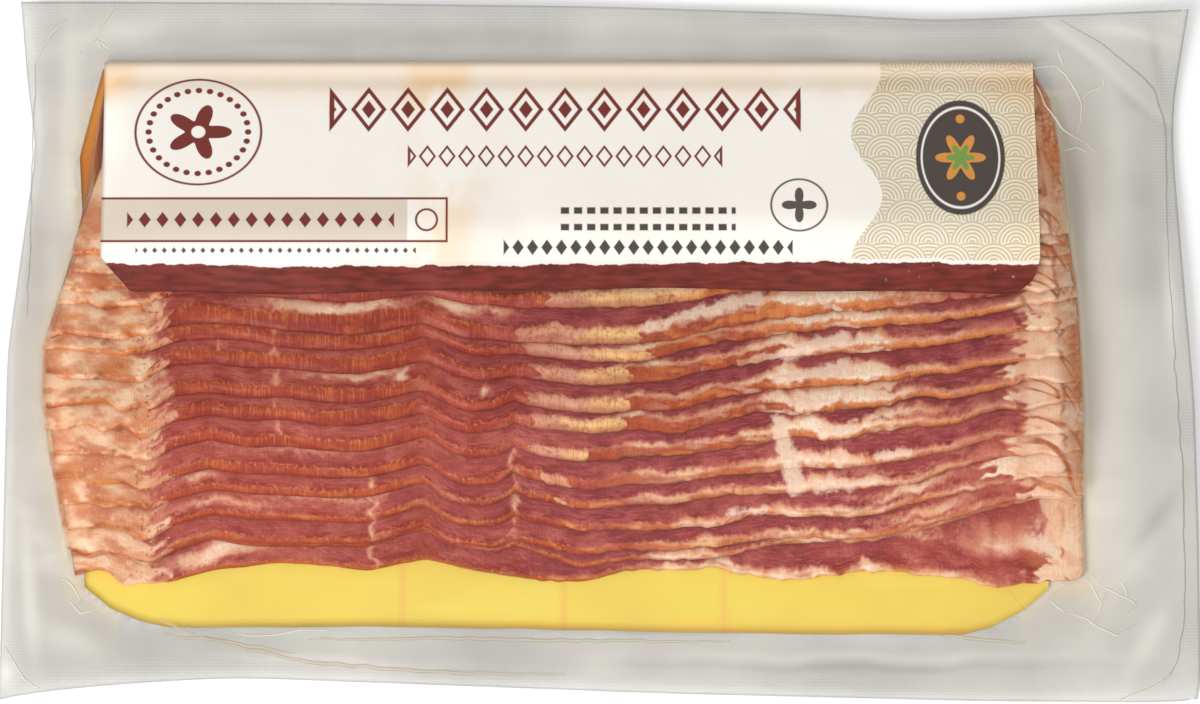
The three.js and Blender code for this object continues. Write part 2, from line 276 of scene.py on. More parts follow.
pile = {
    "count": 16,
    "layer": 2.25,  # from one slice's underside to the next
    "thickness": 2.12,
    "restZ": 1.25,
    "firstUpper": -14.5,  # hidden upper edge of the lowest slice
    "lastUpper": 63.2,
    "kinkReach": 0.5,  # how softly a slice bends from lying to leaning
    "leastStep": 0.5,
    "samplesAlong": 640,
    "cutSamples": 10,
    "faceSamples": 26,
    "hiddenSamples": 7,
    "faceShown": 9.0,  # mm above the cut edge that get the fine samples
    "wobble": 0.45,
    "crumple": 0.22,
    "endWobble": 1.1,
    "cuspX": -19.5,
    "cuspHeight": 1.3,
    "bowlX": -30.5,
    "bowlDip": 1.2,
    "foldX": -39.5,  # fold across the pile
}
# how strongly each slice shows the bowl and the cusp in its edge, lowest slice first
bowlShares = [0, 0.1, 0.1, 0.6, 0.9, 1.1, 1.1, 1.1, 1, 0.3, 0.2, 0.1, 0, 0, 0, 0]
# run of each slice's slanted cut edge, lowest slice first
cutRuns = [0.9, 1.0, 1.5, 1.5, 1.8, 2.3, 2.7, 3.2, 3.1, 3.5, 3.0, 4.2, 3.4, 3.0, 3.0, 3.0]
# left and right limits of the pile as (y, x)
pileLeft = [
    (-53, -120.4), (-45, -121.8), (-34, -124), (-22, -126), (-11, -127.2), (1, -127.2), (12, -123.7),
    (24, -120), (35, -116.5), (43, -113.6), (66, -112.6),
]
pileRight = [
    (-54, 111.6), (-34, 110.9), (-11, 110.5), (12, 109.3), (24, 107.5), (35, 106), (47, 105), (58, 102.9),
    (64, 99.3),
]
# exposed edges of five slices as (x, y), by slice number; the others lie between them
edgeRows = {
    0: [
        (-120.7, -52), (-114.9, -50.6), (-109.2, -53.1), (-103.4, -54.3), (-97.7, -52.9), (-89.2, -50.6),
        (-73.5, -48.6), (-52.8, -50.1), (-40.2, -47.8), (-29.8, -50.1), (-11.4, -52.9), (-4.5, -52.7),
        (7, -49.7), (26.5, -49.7), (36.9, -52.2), (57.6, -50.4), (69.1, -50.6), (92.1, -53.6),
        (103.6, -53.6), (111.6, -51),
    ],
    1: [
        (-120.7, -46.5), (-114.9, -46.5), (-109.2, -47.4), (-103.4, -49), (-97.7, -46), (-89.2, -43),
        (-80.4, -44.4), (-52.8, -44.9), (-40.2, -40.9), (-35.1, -44.4), (-24.1, -46), (-19.5, -44.6),
        (-10, -47.6), (-4.5, -49.6), (7, -47.6), (16.2, -47.8), (26.5, -47.4), (36.9, -44.9), (57.6, -43.7),
        (69.1, -42.3), (82.9, -38.7), (92.1, -35.9), (103.6, -34.5), (111.6, -33.8),
    ],
    2: [
        (-120.7, -45.8), (-114.9, -45.8), (-109.2, -46.7), (-103.4, -48.3), (-97.7, -45.3), (-89.2, -42.3),
        (-80.4, -43.7), (-52.8, -44.2), (-40.2, -40.2), (-35.1, -43.7), (-24.1, -45.3), (-19.5, -43.2),
        (-4.5, -46.7), (7, -45.3), (16.2, -45.8), (36.9, -43.2), (57.6, -43), (69.1, -41.6), (82.9, -38),
        (92.1, -35.2), (103.6, -33.8), (111.6, -33.1),
    ],
    11: [
        (-120.7, 3.4), (-103.4, 3.5), (-97.7, 6.4), (-89.2, 6.7), (-80.4, 5.8), (-59.7, 3.7), (-45.9, 5.3),
        (-40.2, 6.7), (-29.8, 2.8), (-4.5, 1.6), (7, 1.4), (16.2, 2.3), (36.9, 7.6), (57.6, 9.5),
        (92.1, 12.9), (111.6, 15.4),
    ],
    15: [(-120.7, 22.5), (111.6, 27)],
}
# shift of each slice's exposed edge in y, mm, lowest slice first
unevenness = [0, 0, 0, -0.3, -0.1, -0.8, 0.2, 0.8, 0.5, 1.8, 1.9, 0, 2.5, 1.5, 0.8, 0]
# run of the cut edge and thickness of the pile along x, as shares of the full ones
cutProfile = [
    (-112, 0.3), (-103, 0.45), (-96, 0.95), (-46, 1), (-38, 0.75), (-21, 0.7), (-15, 1), (8, 1), (40, 1),
    (58, 0.72), (90, 0.6), (97, 0.35), (104, 0.3),
]
fullness = [
    (-109.2, 0.9), (-103.4, 0.94), (-97.7, 0.98), (-59.7, 1), (-40.2, 0.97), (-29.8, 1), (-19.5, 0.96),
    (-4.5, 0.99), (26.5, 0.97), (57.6, 1), (80.6, 0.97), (92.1, 0.92),
]
upperPitch = (pile["lastUpper"] - pile["firstUpper"]) / (pile["count"] - 1)
lean = pile["layer"] / upperPitch
tableX = np.linspace(-130, 115, 1226)  # every 0.2 mm


# y of slice k's hidden upper edge: equal steps from the lowest slice to the highest
def upperEdge(k):
    return pile["firstUpper"] + k * upperPitch


# one row per slice: y of its exposed edge at each tableX, always a little behind the edge of the slice below
def edgeTable():
    rows = []
    marks = sorted(edgeRows)
    for k in range(pile["count"]):
        above = next(m for m in marks if m >= max(k, 1))
        below = marks[marks.index(above) - 1]
        share = (k - below) / (above - below)
        line = along(edgeRows[below], tableX) * (1 - share) + along(edgeRows[above], tableX) * share
        line = soften(line, 4) + unevenness[k]
        line += pile["wobble"] * (1 + 0.9 * ease(0, 20, tableX)) * latticeNoise(tableX / 9.0, k * 0.7, 11)
        rough = 0.35 + 0.65 * ease(-22, -12, tableX) + 0.5 * ease(10, 30, tableX)
        line += pile["crumple"] * rough * latticeNoise(tableX / 1.9, k * 5.1, 12)
        cusp = pile["cuspHeight"] * np.exp(-np.abs(tableX - pile["cuspX"]) / 2.4)
        ragged = ease(-97, -106, tableX) + 0.7 * ease(90, 102, tableX)
        line += pile["endWobble"] * ragged * latticeNoise(tableX / 4.2, k * 1.9, 14)
        bowl = pile["bowlDip"] * np.exp(-(((tableX - pile["bowlX"]) / 6.5) ** 2))
        line += bowlShares[k] * (cusp - bowl)
        rows.append(line if not rows else np.maximum(line, rows[-1] + pile["leastStep"]))
    return np.array(rows)


edges = edgeTable()


# y of slice k's exposed edge at x, straight between the table's columns
def edgeAt(k, x):
    return np.interp(x, tableX, edges[k])


# how far slice k's slanted cut edge runs in y at x: its own run times the profile, with some noise
def cutRunAt(k, x):
    return cutRuns[k] * along(cutProfile, x) * (1 + 0.2 * latticeNoise(x / 5.0, k * 6.1, 13))


# x of the pile's left and right ends at y
def leftAt(y):
    return along(pileLeft, y)


def rightAt(y):
    return along(pileRight, y)


# share of the height left near the pile's ends, where the film squeezes them down
def endShare(x, y):
    fromLeft, fromRight = x - leftAt(y), rightAt(y) - x
    return (0.62 + 0.38 * ease(-1, 7, fromLeft)) * (0.55 + 0.45 * ease(-1, 6, fromRight))


# smooth smaller, -s * log(exp(-a / s) + exp(-b / s)), of k layers lying flat and the rise of leaning on the
# slices below, so that neighbours stay parallel
def underside(k, x, y):
    s = pile["kinkReach"]
    flat, leaning = k * pile["layer"], (upperEdge(k) - y) * lean
    height = -s * np.logaddexp(-flat / s, -leaning / s)
    return pile["restZ"] + np.maximum(height, 0) * along(fullness, x) * endShare(x, y)


# thickness of a slice at x, y: the full one times the shares along the pile and at its ends
def thicknessAt(x, y):
    return pile["thickness"] * along(fullness, x) * endShare(x, y)


# height of the pile's upper side at any x, y, or of the card where no slice lies
def pileTop(x, y):
    top = np.full(np.shape(x), pile["restZ"] - 0.1)
    for k in range(pile["count"]):
        edge = edgeAt(k, x)
        rise = np.clip((y - edge) / cutRunAt(k, x), 0, 1)
        z = underside(k, x, y) + thicknessAt(x, y) * np.sin(rise * math.pi / 2)
        inside = (y >= edge) & (y <= upperEdge(k)) & (x >= leftAt(y)) & (x <= rightAt(y))
        top = np.where(inside, np.maximum(top, z), top)
    return top


# where fat and lean lie, in mm; zones run along x and change from the lower slices to the upper ones

meat = {
    "leftFat": -103.2,
    "rightFat": 94.0,
    # height of the fat band above the cut edge, as (x, mm), for lower and for upper slices
    "bandLow": [
        (-14, -1), (4, -0.6), (12, 0.4), (18, 1.2), (25, 0.9), (29, 0.1), (36, 0.0), (42, 1.1), (50, 1.7),
        (58, 1.1), (66, 0.4), (74, 0.3), (84, 0.7), (90, 0.4), (97, 0.2),
    ],
    "bandHigh": [
        (-20, -1), (-12, -0.5), (3, 0.2), (9, 1.1), (16, 0.2), (30, 0.1), (37, 0.9), (42, 2.6), (56, 3.0),
        (66, 1.3), (75, 0.2), (90, 0.0), (97, 0.2),
    ],
    # the same for the lowest slice, whose face is mostly fat in the middle
    "bandLowest": [
        (-14, -1), (6, -0.4), (14, 0.6), (20, 2.2), (26, 4.6), (44, 5.4), (56, 5.0), (62, 2.4), (68, 0.9),
        (86, 0.7), (94, 1.4),
    ],
    # how dark and purple the lean face is, as (x, 0 to 1), for lower and for upper slices
    "darkLow": [
        (-100, 0.1), (-70, 0.15), (-44, 0.3), (-30, 0.35), (-16, 0.5), (-6, 0.75), (20, 0.75), (60, 0.6),
        (75, 0.35), (95, 0.15),
    ],
    "darkHigh": [
        (-100, 0.0), (-60, 0.08), (-44, 0.15), (-30, 0.25), (-14, 0.7), (0, 1), (30, 0.85), (50, 0.75),
        (64, 0.8), (78, 1), (92, 0.8),
    ],
}
# on the cut edge: x where cream fat starts after the lean, where orange meat starts,
# and where fat starts again
cutMarks = {
    0: (0, 0, 30), 1: (0, 0, 30), 2: (0, 0, 22), 3: (0, 0, 26), 4: (-9, -7, 30), 5: (-13, -7, 38),
    6: (-15.3, -2, 44), 7: (-16.2, 4.6, 45.8), 8: (-17, 6.2, 47.4), 9: (-14.5, 7.1, 44.2),
    10: (-17, 11.5, 37), 11: (-18.9, 9.2, 35.9), 12: (-12, 24, 46), 13: (-12, 20, 40), 14: (-12, 20, 40),
    15: (-12, 20, 40),
}
# white islands on the faces: slice, x, mm above the exposed edge, half length, half width
islands = [
    (11, -61.5, 5.9, 17, 1.9), (11, -33, 6.8, 7, 1.4), (11, -23, 6.6, 3, 0.8), (8, -57, 6.3, 11, 1.1),
    (8, -45, 5.0, 1.5, 1.3), (8, -26, 4.6, 1.1, 1.2), (0, -86, 4.6, 12, 2.6), (0, -72, 5.6, 8, 1.2),
    (8, -103, 4.2, 3.5, 2.0), (0, 93, 9.0, 8.5, 2.0), (0, 84, 12.6, 11, 1.3), (0, 68, 9.2, 9, 0.8),
    (0, -66, 6.6, 3, 0.4), (10, 19, 3.4, 9, 0.8), (12, 14, 3.2, 12, 1.6), (12, 44, 3.4, 16, 1.7),
    (7, 63, 4.4, 8, 1.4), (6, 70, 3.8, 9, 1.2), (3, 72, 4.0, 9, 1.3), (2, 76, 3.6, 9, 1.2),
    (1, 70, 3.4, 8, 1.0), (3, -62, 5.6, 12, 0.7), (3, -86, 3.6, 10, 0.8), (4, -92, 3.8, 4, 0.8),
    (5, -61, 6.0, 12, 0.4),
]
# white scraps of fat over several slices: from, to, half width
scraps = [
    ((41.2, -16.4), (44.8, -30.8), 2.0), ((42.5, -0.6), (56, 3.2), 1.6), ((40.5, -6.6), (56, -3.2), 1.3),
    ((45.5, -12.7), (52, -11.8), 1.1), ((50.8, -18.9), (58.2, -17.4), 1.3), ((57, -15.9), (70, -13.4), 0.5),
    ((49.7, -31.5), (61, -29.8), 0.9), ((98, -41), (104, -46), 1.4), ((10.5, 5.6), (24, 9.4), 1.0),
    ((24, 9.4), (36, 12.4), 1.5), ((30, -37), (38, -36), 0.7), ((64, -24), (71, -23), 0.8),
]
# thin white veins across the slices: x, first slice, last slice, half width
veins = [(-74.3, 6, 11, 0.3), (-51.8, 0, 4, 0.7), (-19.6, 1, 5, 0.2), (-88, 9, 10, 0.2)]
# smears on the fat at the pile's left end: x, y, half length, half width, orange 0 to dark brown 1
smears = [
    (-107.8, 9.8, 3.4, 0.9, 0.0), (-106.6, 5.8, 3.0, 1.0, 0.1), (-120, 8.2, 3.4, 0.6, 0.1),
    (-115.6, -11.4, 4.0, 0.7, 0.2), (-120, -8.9, 2.8, 0.9, 0.6), (-106.7, 1.0, 2.2, 0.8, 0.2),
    (-123.6, 2.6, 1.6, 0.9, 0.7), (-119.7, -28.4, 2.9, 1.2, 0.5), (-113.5, -29.6, 3.2, 0.7, 0.1),
    (-112.9, 2.4, 0.9, 0.8, 0.9), (-109.7, -3.4, 1.1, 1.0, 0.8), (-114.3, -5.4, 1.0, 0.9, 1.0),
    (-110.6, -3.9, 2.4, 1.5, 0.35), (-109.7, -17.5, 0.9, 0.8, 0.9), (-107.2, -35.9, 0.8, 0.8, 0.9),
    (-111.5, -23.2, 1.0, 0.8, 0.8), (-108.8, -21.9, 2.0, 1.1, 0.5), (-107.4, -26.2, 2.2, 0.9, 0.6),
    (-105.6, -29, 1.6, 1.6, 0.6), (-118, -48.6, 3.5, 0.7, 0.1),
]


# signed depth inside the fat, in mm, at x and at d mm above slice k's exposed edge: the largest of all
# its parts; the band's upper border has spikes, noise that is stretched upwards
def fatDepth(k, x, d, run):
    upper = ease(2, 7, k)
    bentX = x + 1.1 * latticeNoise(x / 2.6, d / 1.7 + k * 3.9, 46)
    d = d + 0.45 * latticeNoise(x / 1.7, d / 1.3 + k * 6.3, 47)
    x = bentX
    band = along(meat["bandLow"], x) * (1 - upper) + along(meat["bandHigh"], x) * upper
    if k == 0:
        band = along(meat["bandLowest"], x)
    swell = 0.68 + 0.85 * latticeNoise(x / 7.0, k * 2.9, 20)
    spikes = latticeNoise(x / 2.4, d * 0.1 + k * 4.3, 21) * 0.6
    spikes = spikes + np.abs(latticeNoise(x / 1.1, d * 0.15 + k * 2.3, 22)) * 0.9
    spiked = band * swell + (band > -0.2) * spikes * (0.25 + 0.4 * np.clip(band, 0, 2))
    band = np.where(x > meat["rightFat"] + 1, -1, spiked)
    field = band - np.maximum(d - run, 0)
    ragged = 3.6 * latticeNoise(k * 1.7, 0, 23) + 3.6 * latticeNoise(d / 1.5, k * 3.1, 24)
    leftEnd = meat["leftFat"] + ragged + 1.8 * latticeNoise(x / 1.1, d / 0.8 + k, 32) - x
    farther = 9.0 if k == 0 else 4.5 * latticeNoise(k * 1.3, 0, 25)
    tatters = 4.2 * latticeNoise(d / 1.3, k * 2.7, 26) + 2.6 * latticeNoise(x / 1.4, d / 0.7 + k, 30)
    rightEnd = x - meat["rightFat"] - farther - tatters
    field = np.maximum(field, np.maximum(leftEnd, rightEnd))
    for number, cx, cd, halfLength, halfWidth in islands:
        if number == k:
            bend = 0.35 * halfWidth * np.sin(x / 4.0 + k) + 0.5 * latticeNoise(x / 2.2, k, 28)
            reach = np.hypot((x - cx) / halfLength, (d - cd + bend) / halfWidth)
            field = np.maximum(field, (1 - reach) * halfWidth)
    for vx, low, high, half in veins:
        if low <= k <= high:
            drift = 0.6 * latticeNoise(d / 3.0, k * 7.7 + vx, 27)
            broken = 0.6 * latticeNoise(d / 2.0, k * 3.7 + vx, 29)
            field = np.maximum(field, half * (1 + broken) - np.abs(x - vx - drift))
    return field


# signed depth inside the fat on the cut edge, counted along x
def cutFatDepth(k, x, d):
    creamStart, meatStart, fatAgain = cutMarks[k]
    x = x + 1.6 * latticeNoise(d / 1.2, k * 3.3, 31)
    left = meat["leftFat"] + 4 + 2.2 * latticeNoise(k * 1.7, 0, 23) - x
    field = np.maximum(left, np.minimum(x - creamStart, meatStart - x))
    return np.maximum(field, np.minimum(x - fatAgain, (78 if k == 11 else 200) - x))


# strength and darkness of the smears at x, y: the largest of soft ellipses exp(-r^4)
def smearAt(x, y):
    strength, dark = np.zeros(x.shape), np.zeros(x.shape)
    sway = 0.5 * latticeNoise(x / 1.5, y / 1.5, 33)
    for cx, cy, halfLength, halfWidth, darkness in smears:
        reach = np.hypot((x - cx + sway) / halfLength, (y - cy + sway - 0.06 * (x - cx)) / halfWidth)
        here = np.exp(-(reach**4))
        dark = np.where(here > strength, darkness, dark)
        strength = np.maximum(strength, here)
    return strength, dark


# largest depth inside the scraps, each a capsule between its two ends with an uneven border
def scrapDepth(x, y):
    unevenBorder = 0.6 * latticeNoise(x / 1.9, y / 1.6, 40) + 0.3 * latticeNoise(x / 0.9, y / 1.1, 48)
    depth = np.full(x.shape, -5.0)
    for (x0, y0), (x1, y1), half in scraps:
        dx, dy = x1 - x0, y1 - y0
        share = np.clip(((x - x0) * dx + (y - y0) * dy) / (dx * dx + dy * dy), 0, 1)
        depth = np.maximum(depth, half - np.hypot(x - x0 - share * dx, y - y0 - share * dy))
    return depth + unevenBorder


# bacon slices

glare = {"mirrored": 0.03, "light": 0.96}


# a colour of the wet meat, with that glare taken off
def meatTint(red, green, blue):
    return tint(red, green, blue, glare["mirrored"], glare["light"])


# the slices' colours, as layers over one another: what varies comes from numbers at each point of the mesh
# and from three noises that follow the slice
def baconMaterial():
    kit = Kit("cured bacon")
    place = kit.vector("sliceMap")  # x, mm above the exposed edge, a number that differs from slice to slice
    x, d, _ = kit.axes(place)
    # depth in the face's fat, height left to the cut's top, depth in the cut's fat
    fat, cut, cutFat = kit.axes(kit.vector("fatMap"))
    # how purple, painted shade near the slice above, share of the face's height
    dark, creviceShade, height = kit.axes(kit.vector("faceMap"))
    # two soft noises, and how near the fold across the pile
    streak, cloud, kink = kit.axes(kit.vector("cloudMap"))
    # three soft noises: along the rim, over the right end, over everything
    rim, flow, mottle = kit.axes(kit.vector("rimMap"))
    # how low in the pile, where the end shows a line, depth in a white scrap
    low, lines, patch = kit.axes(kit.vector("lineMap"))
    # mm from the right end, then strength and darkness of the smears at the left end
    rightGap, smear, smearDark = kit.axes(kit.vector("endMap"))
    placeY = kit.axes(kit.inMm())[1]
    fine = kit.noise(place, 0.95, 3.0, 0.65)
    upright = kit.noise(kit.stretch(place, (2.6, 0.16, 1.0)), 0.8, 2.0, 0.75)
    grain = kit.noise(kit.stretch(place, (0.3, 2.2, 1.0)), 1.0, 3.0, 0.7)
    rough = fine - 0.5
    rightPart = kit.rise(8.0, 20.0, x)

    # first where the share is 0, second where it is 1; a colour is a wire or red, green and blue up to 255
    def mix(share, first, second):
        first, second = (c if isinstance(c, Wire) else meatTint(*c) for c in (first, second))
        return kit.blend(share, first, second)

    # layers of (share, colour) laid over a colour in turn
    def over(colour, *layers):
        for share, layer in layers:
            colour = mix(share, colour, layer)
        return colour

    # pink lean, redder towards the cut edge, purple in the folds, with grain, strands and pale feathers
    def leanFace():
        pink = mix(dark, (179, 84, 77), (146, 58, 74))
        red = mix(dark, (155, 53, 41), (134, 44, 56))
        strands = kit.rise(0.05, 0.01, abs(grain + rough * 0.3 - 0.5))
        strands = strands * kit.rise(0.1, 0.6, mottle + cloud * 0.5)
        feathers = kit.rise(0.1, 0.55, streak + rough * 1.4)
        feathers = feathers * kit.rise(48.0, 56.0, x) * kit.rise(92.0, 82.0, x)
        return over(
            mix(kit.rise(0.55, 0.05, height + cloud * 0.35), pink, red),
            (kit.rise(-0.1, 0.7, cloud) * 0.4, (186, 92, 78)),
            (kit.rise(0.15, 0.8, streak) * 0.35, (152, 56, 52)),
            (kit.rise(0.0, 0.7, mottle + rough) * 0.5, mix(dark, (188, 98, 88), (168, 70, 82))),
            (kit.rise(-0.1, -0.7, mottle + rough) * 0.45, mix(dark, (146, 50, 46), (112, 36, 54))),
            (kit.rise(0.6, 0.74, fine) * 0.4, (206, 120, 108)),
            (kit.rise(0.52, 0.66, grain) * 0.45, (206, 112, 102)),
            (kit.rise(0.46, 0.34, grain) * 0.45, (122, 34, 42)),
            (strands * 0.35, (218, 142, 126)),
            (feathers * (0.2 + 0.35 * low), (220, 146, 130)),
        )

    # cream fat, tanned in places and whitest in its middle
    def fatFace():
        tanned = kit.rise(-0.1, -0.6, mottle) * kit.rise(10.0, 20.0, x)
        core = kit.rise(0.3, 2.2, fat + mottle * 0.8 + rough * 1.6)
        core = core * kit.rise(-101.0, -97.0, x) * kit.rise(98.0, 92.0, x)
        return over(
            mix(kit.rise(-0.5, 0.6, cloud), (242, 204, 170), (226, 162, 126)),
            (kit.rise(0.0, 0.7, mottle) * 0.45, (218, 140, 112)),
            (tanned * 0.5, (226, 158, 106)),
            (kit.rise(-98.0, -104.0, x), mix(kit.rise(-0.4, 0.4, cloud), (238, 197, 160), (212, 143, 103))),
            (kit.rise(0.5, 0.75, fine) * 0.4, (218, 144, 114)),
            (core * 0.88, mix(kit.rise(0.35, 0.65, fine + mottle * 0.15), (255, 236, 214), (246, 206, 176))),
        )

    # lean and fat together; the border between them is softer at the pile's ends
    def wholeFace():
        atEnds = kit.most(kit.rise(-96.0, -100.0, x), kit.rise(78.0, 88.0, x))
        fatEdge = (fat + rough * 1.9) * (1.0 - 0.62 * atEnds) + mottle * 0.3 * atEnds
        return over(
            leanFace(),
            (kit.rise(-0.9, 0.0, fatEdge) * 0.65, (206, 120, 104)),
            (kit.rise(-0.35, 0.9, fatEdge), fatFace()),
        )

    # orange-brown lean of the cut edge, with upright stripes, and painted shade that darkens it downwards
    # towards the slice below
    def cutLean(upward):
        stripes = kit.rise(0.54, 0.62, upright) * (0.2 + 0.4 * upward) * (1.0 - 0.4 * low)
        orangeMeat = kit.rise(0.0, 3.0, x) * kit.rise(60.0, 50.0, x) * (1.0 - 0.6 * low)
        return over(
            # painted shade: darker red-brown towards the foot of the cut edge
            mix(upward, (144, 46, 31), (169, 69, 38)),
            (kit.rise(-0.1, 0.6, rim) * 0.5, (190, 92, 56)),
            (stripes, (212, 124, 70)),
            (kit.rise(0.47, 0.36, upright) * 0.4, (142, 50, 36)),
            (orangeMeat * 0.55, mix(kit.rise(0.35, 0.65, fine), (202, 104, 56), (154, 74, 56))),
        )

    # fat of the cut edge: cream in the middle of the pile, orange at the right, pinker at the left, with
    # painted shade towards its foot
    def cutFatTone(upward):
        cream = over(
            mix(kit.rise(-8.0, 0.0, x + streak * 6.0), (212, 154, 128), (236, 190, 132)),
            (kit.rise(0.47, 0.34, upright) * 0.4, (170, 98, 76)),
            (kit.rise(-0.1, -0.6, mottle + rough * 2.0) * 0.4, (214, 134, 92)),
            # painted shade towards the foot of the cut edge
            (kit.rise(1.4, 3.0, cut) * 0.45, (150, 82, 66)),
        )
        orange = over(
            mix(kit.rise(0.4, 0.64, fine), (212, 130, 76), (184, 88, 44)),
            (upward * 0.35, (232, 172, 126)),
        )
        return over(
            mix(kit.rise(26.0, 40.0, x), cream, orange),
            # painted shade towards the foot of the cut edge
            (kit.rise(1.0, 2.6, cut) * 0.4, (166, 80, 52)),
            (kit.rise(-96.0, -104.0, x), mix(kit.rise(0.42, 0.62, fine), (226, 168, 132), (206, 124, 80))),
        )

    def cutFace():
        upward = kit.rise(2.6, 0.3, cut)
        upperSide = kit.rise(1.2, 0.4, cut + rough * 1.2) * rightPart
        upperSide = upperSide * kit.rise(-0.4, 0.3, streak + rim * 0.5)
        browned = kit.rise(0.5, 0.34, fine + rim * 0.08) * kit.rise(-98.0, -92.0, x)
        return over(
            cutLean(upward),
            (kit.rise(-0.3, 0.3, cutFat + rough * 2.0), cutFatTone(upward)),
            (kit.rise(0.1, 0.6, rim + rough) * rightPart * 0.6, (212, 130, 76)),
            (upperSide * 0.45, (236, 188, 146)),
            (kit.rise(-0.1, -0.5, rim + rough) * rightPart * 0.65, (150, 70, 46)),
            (browned * (0.4 + 0.2 * rightPart), (140, 60, 40)),
        )

    # where the cut edge shows: less in the bowls and low in the middle, and broken at the right
    def cutShare():
        broken = rightPart * kit.rise(-0.1, -0.6, rim + rough)
        inBowls = kit.rise(-46.0, -38.0, x) * kit.rise(-12.0, -18.0, x)
        inMiddle = kit.rise(-12.0, 0.0, x) * kit.rise(52.0, 40.0, x) * low
        share = kit.rise(-0.5, 0.5, cut - 0.55 * rightPart + rough * 1.5) * (1.0 - 0.55 * broken)
        share = share * (1.0 - 0.4 * low * kit.rise(0.1, -0.5, rim))
        return share * (1.0 - 0.45 * inBowls) * (1.0 - 0.35 * inMiddle)

    # a dark line of painted shade under each slice, orange-yellow specks where the cut edge meets the face,
    # and thin edges that are orange in places on the lower slices
    def edgeLayers():
        # painted shade: a dark line at the foot of each cut edge, where it meets the slice below
        underShade = kit.rise(0.75, 0.0, d + rough * 0.6) * kit.rise(-104.0, -99.0, x)
        underShade = underShade * (0.3 + 0.4 * streak + 0.3 * rim) * (1.0 - 0.15 * rightPart)
        specks = kit.rise(0.9, 0.1, abs(cut + 0.1)) * kit.rise(0.55, 0.63, kit.noise(place, 1.35, 2.0, 0.6))
        speckShare = kit.rise(-104.0, -99.0, x) * kit.rise(6.0, -10.0, x)
        lowRim = low * kit.rise(2.0, 1.0, d + rough) * kit.rise(0.1, 0.7, d) * kit.rise(-100.0, -92.0, x)
        lowRim = lowRim * (0.3 + 0.4 * kit.rise(-14.0, -6.0, x))
        lowTone = mix(kit.rise(0.0, 0.5, mottle + rough), (188, 96, 60), (222, 152, 96))
        return [
            (underShade, mix(dark, (120, 38, 32), (92, 34, 44))),
            (specks * speckShare * 0.5, (222, 146, 76)),
            (lowRim * kit.rise(-0.35, 0.5, rim), lowTone),
        ]

    # the pile's left end: orange-brown lines on cream fat, stains, smears, and specks beside the lean
    def leftEndLayers():
        leftEnd = kit.rise(-101.0, -105.0, x)
        stained = kit.rise(0.42, 0.3, fine + mottle * 0.05) * leftEnd
        endEdge = kit.rise(2.0, 0.2, d + rough * 1.8 + rim * 1.4) * leftEnd * lines
        endTone = mix(kit.rise(-0.3, 0.4, mottle), (210, 128, 74), (166, 86, 54))
        hollow = kit.rise(0.35, 1.0, height) * leftEnd * kit.rise(-0.3, 0.5, cloud)
        speckled = kit.rise(9.0, 2.0, abs(x + 101.0)) * kit.rise(0.56, 0.66, fine + mottle * 0.06)
        pale = kit.rise(-93.0, -99.0, x) * kit.rise(0.42, 0.3, fine + mottle * 0.06)
        return [
            (kit.rise(-0.1, 0.6, mottle) * leftEnd * 0.7, (200, 118, 78)),
            (stained * 0.4, (188, 108, 70)),
            (kit.rise(-0.1, -0.6, mottle) * leftEnd * 0.7, (246, 216, 184)),
            (endEdge * (0.15 + 0.85 * kit.rise(-0.3, 0.3, streak + rim * 0.5)), endTone),
            (hollow * 0.6, (204, 130, 102)),
            (smear * (0.7 + 0.6 * rough), mix(smearDark, (226, 142, 72), (146, 78, 54))),
            (speckled * 0.75, (150, 72, 58)),
            (pale * kit.rise(-1.5, -1.1, fat) * 0.6, (236, 196, 170)),
        ]

    # the pile's right end: pale fat, hooked orange lines, and an orange rim
    def rightEndLayers():
        inEnd = kit.rise(16.0, 11.0, rightGap)
        fatEnd = kit.rise(95.0, 99.0, x) * kit.rise(-0.2, 0.5, fat) * inEnd
        hooks = kit.rise(0.2, 0.02, abs(flow + rough * 0.2)) * kit.rise(16.0, 10.0, rightGap)
        hooks = hooks * kit.rise(-0.5, 0.2, cloud + rough) * kit.rise(-40.0, -28.0, placeY)
        sway = streak * 1.4 + cloud * 1.4 + rough
        rimBand = kit.rise(5.6, 1.4, rightGap + sway) * kit.rise(-0.5, 0.3, cloud + rough * 1.5)
        rimTone = mix(kit.rise(0.4, 0.6, fine), (226, 146, 92), (204, 108, 56))
        rimLine = kit.rise(0.8, 0.1, abs(rightGap - 4.8 + sway)) * kit.rise(-0.3, 0.4, streak)
        return [
            (fatEnd * 0.6, (246, 212, 182)),
            (kit.rise(0.0, 0.6, mottle + rough) * inEnd * 0.4, (248, 218, 192)),
            (kit.rise(0.0, -0.6, mottle + rough) * inEnd * 0.35, (224, 146, 98)),
            (hooks * 0.9, mix(kit.rise(-0.4, 0.4, rim), (160, 78, 44), (212, 120, 64))),
            (rimBand * (0.45 + 0.4 * kit.rise(-30.0, -10.0, placeY)), rimTone),
            (rimLine * 0.7, (176, 88, 50)),
        ]

    colour = over(
        mix(cutShare(), wholeFace(), cutFace()),
        *edgeLayers(),
        *leftEndLayers(),
        (kink * 0.5, mix(kit.rise(0.35, 0.65, fine), (150, 58, 46), (178, 86, 58))),
        *rightEndLayers(),
        # painted shade on the face just under the edge of the slice above
        (creviceShade, mix(dark, (128, 44, 40), (100, 38, 50))),
        (kit.rise(-0.7, 0.9, patch + rough * 2.4) * 0.92, mix(fine, (248, 226, 204), (230, 186, 162))),
    )
    relief = kit.bump(fine + upright * 0.5, 0.5, 0.0006)
    return kit.finish(
        Base_Color=colour, Roughness=0.3 + 0.3 * fine, IOR=1.4, Specular_IOR_Level=0.35, Coat_Weight=0.12,
        Coat_Roughness=0.1, Subsurface_Weight=0.2, Subsurface_Radius=(1.0, 0.4, 0.3), Subsurface_Scale=0.0015,
        Normal=relief,
    )


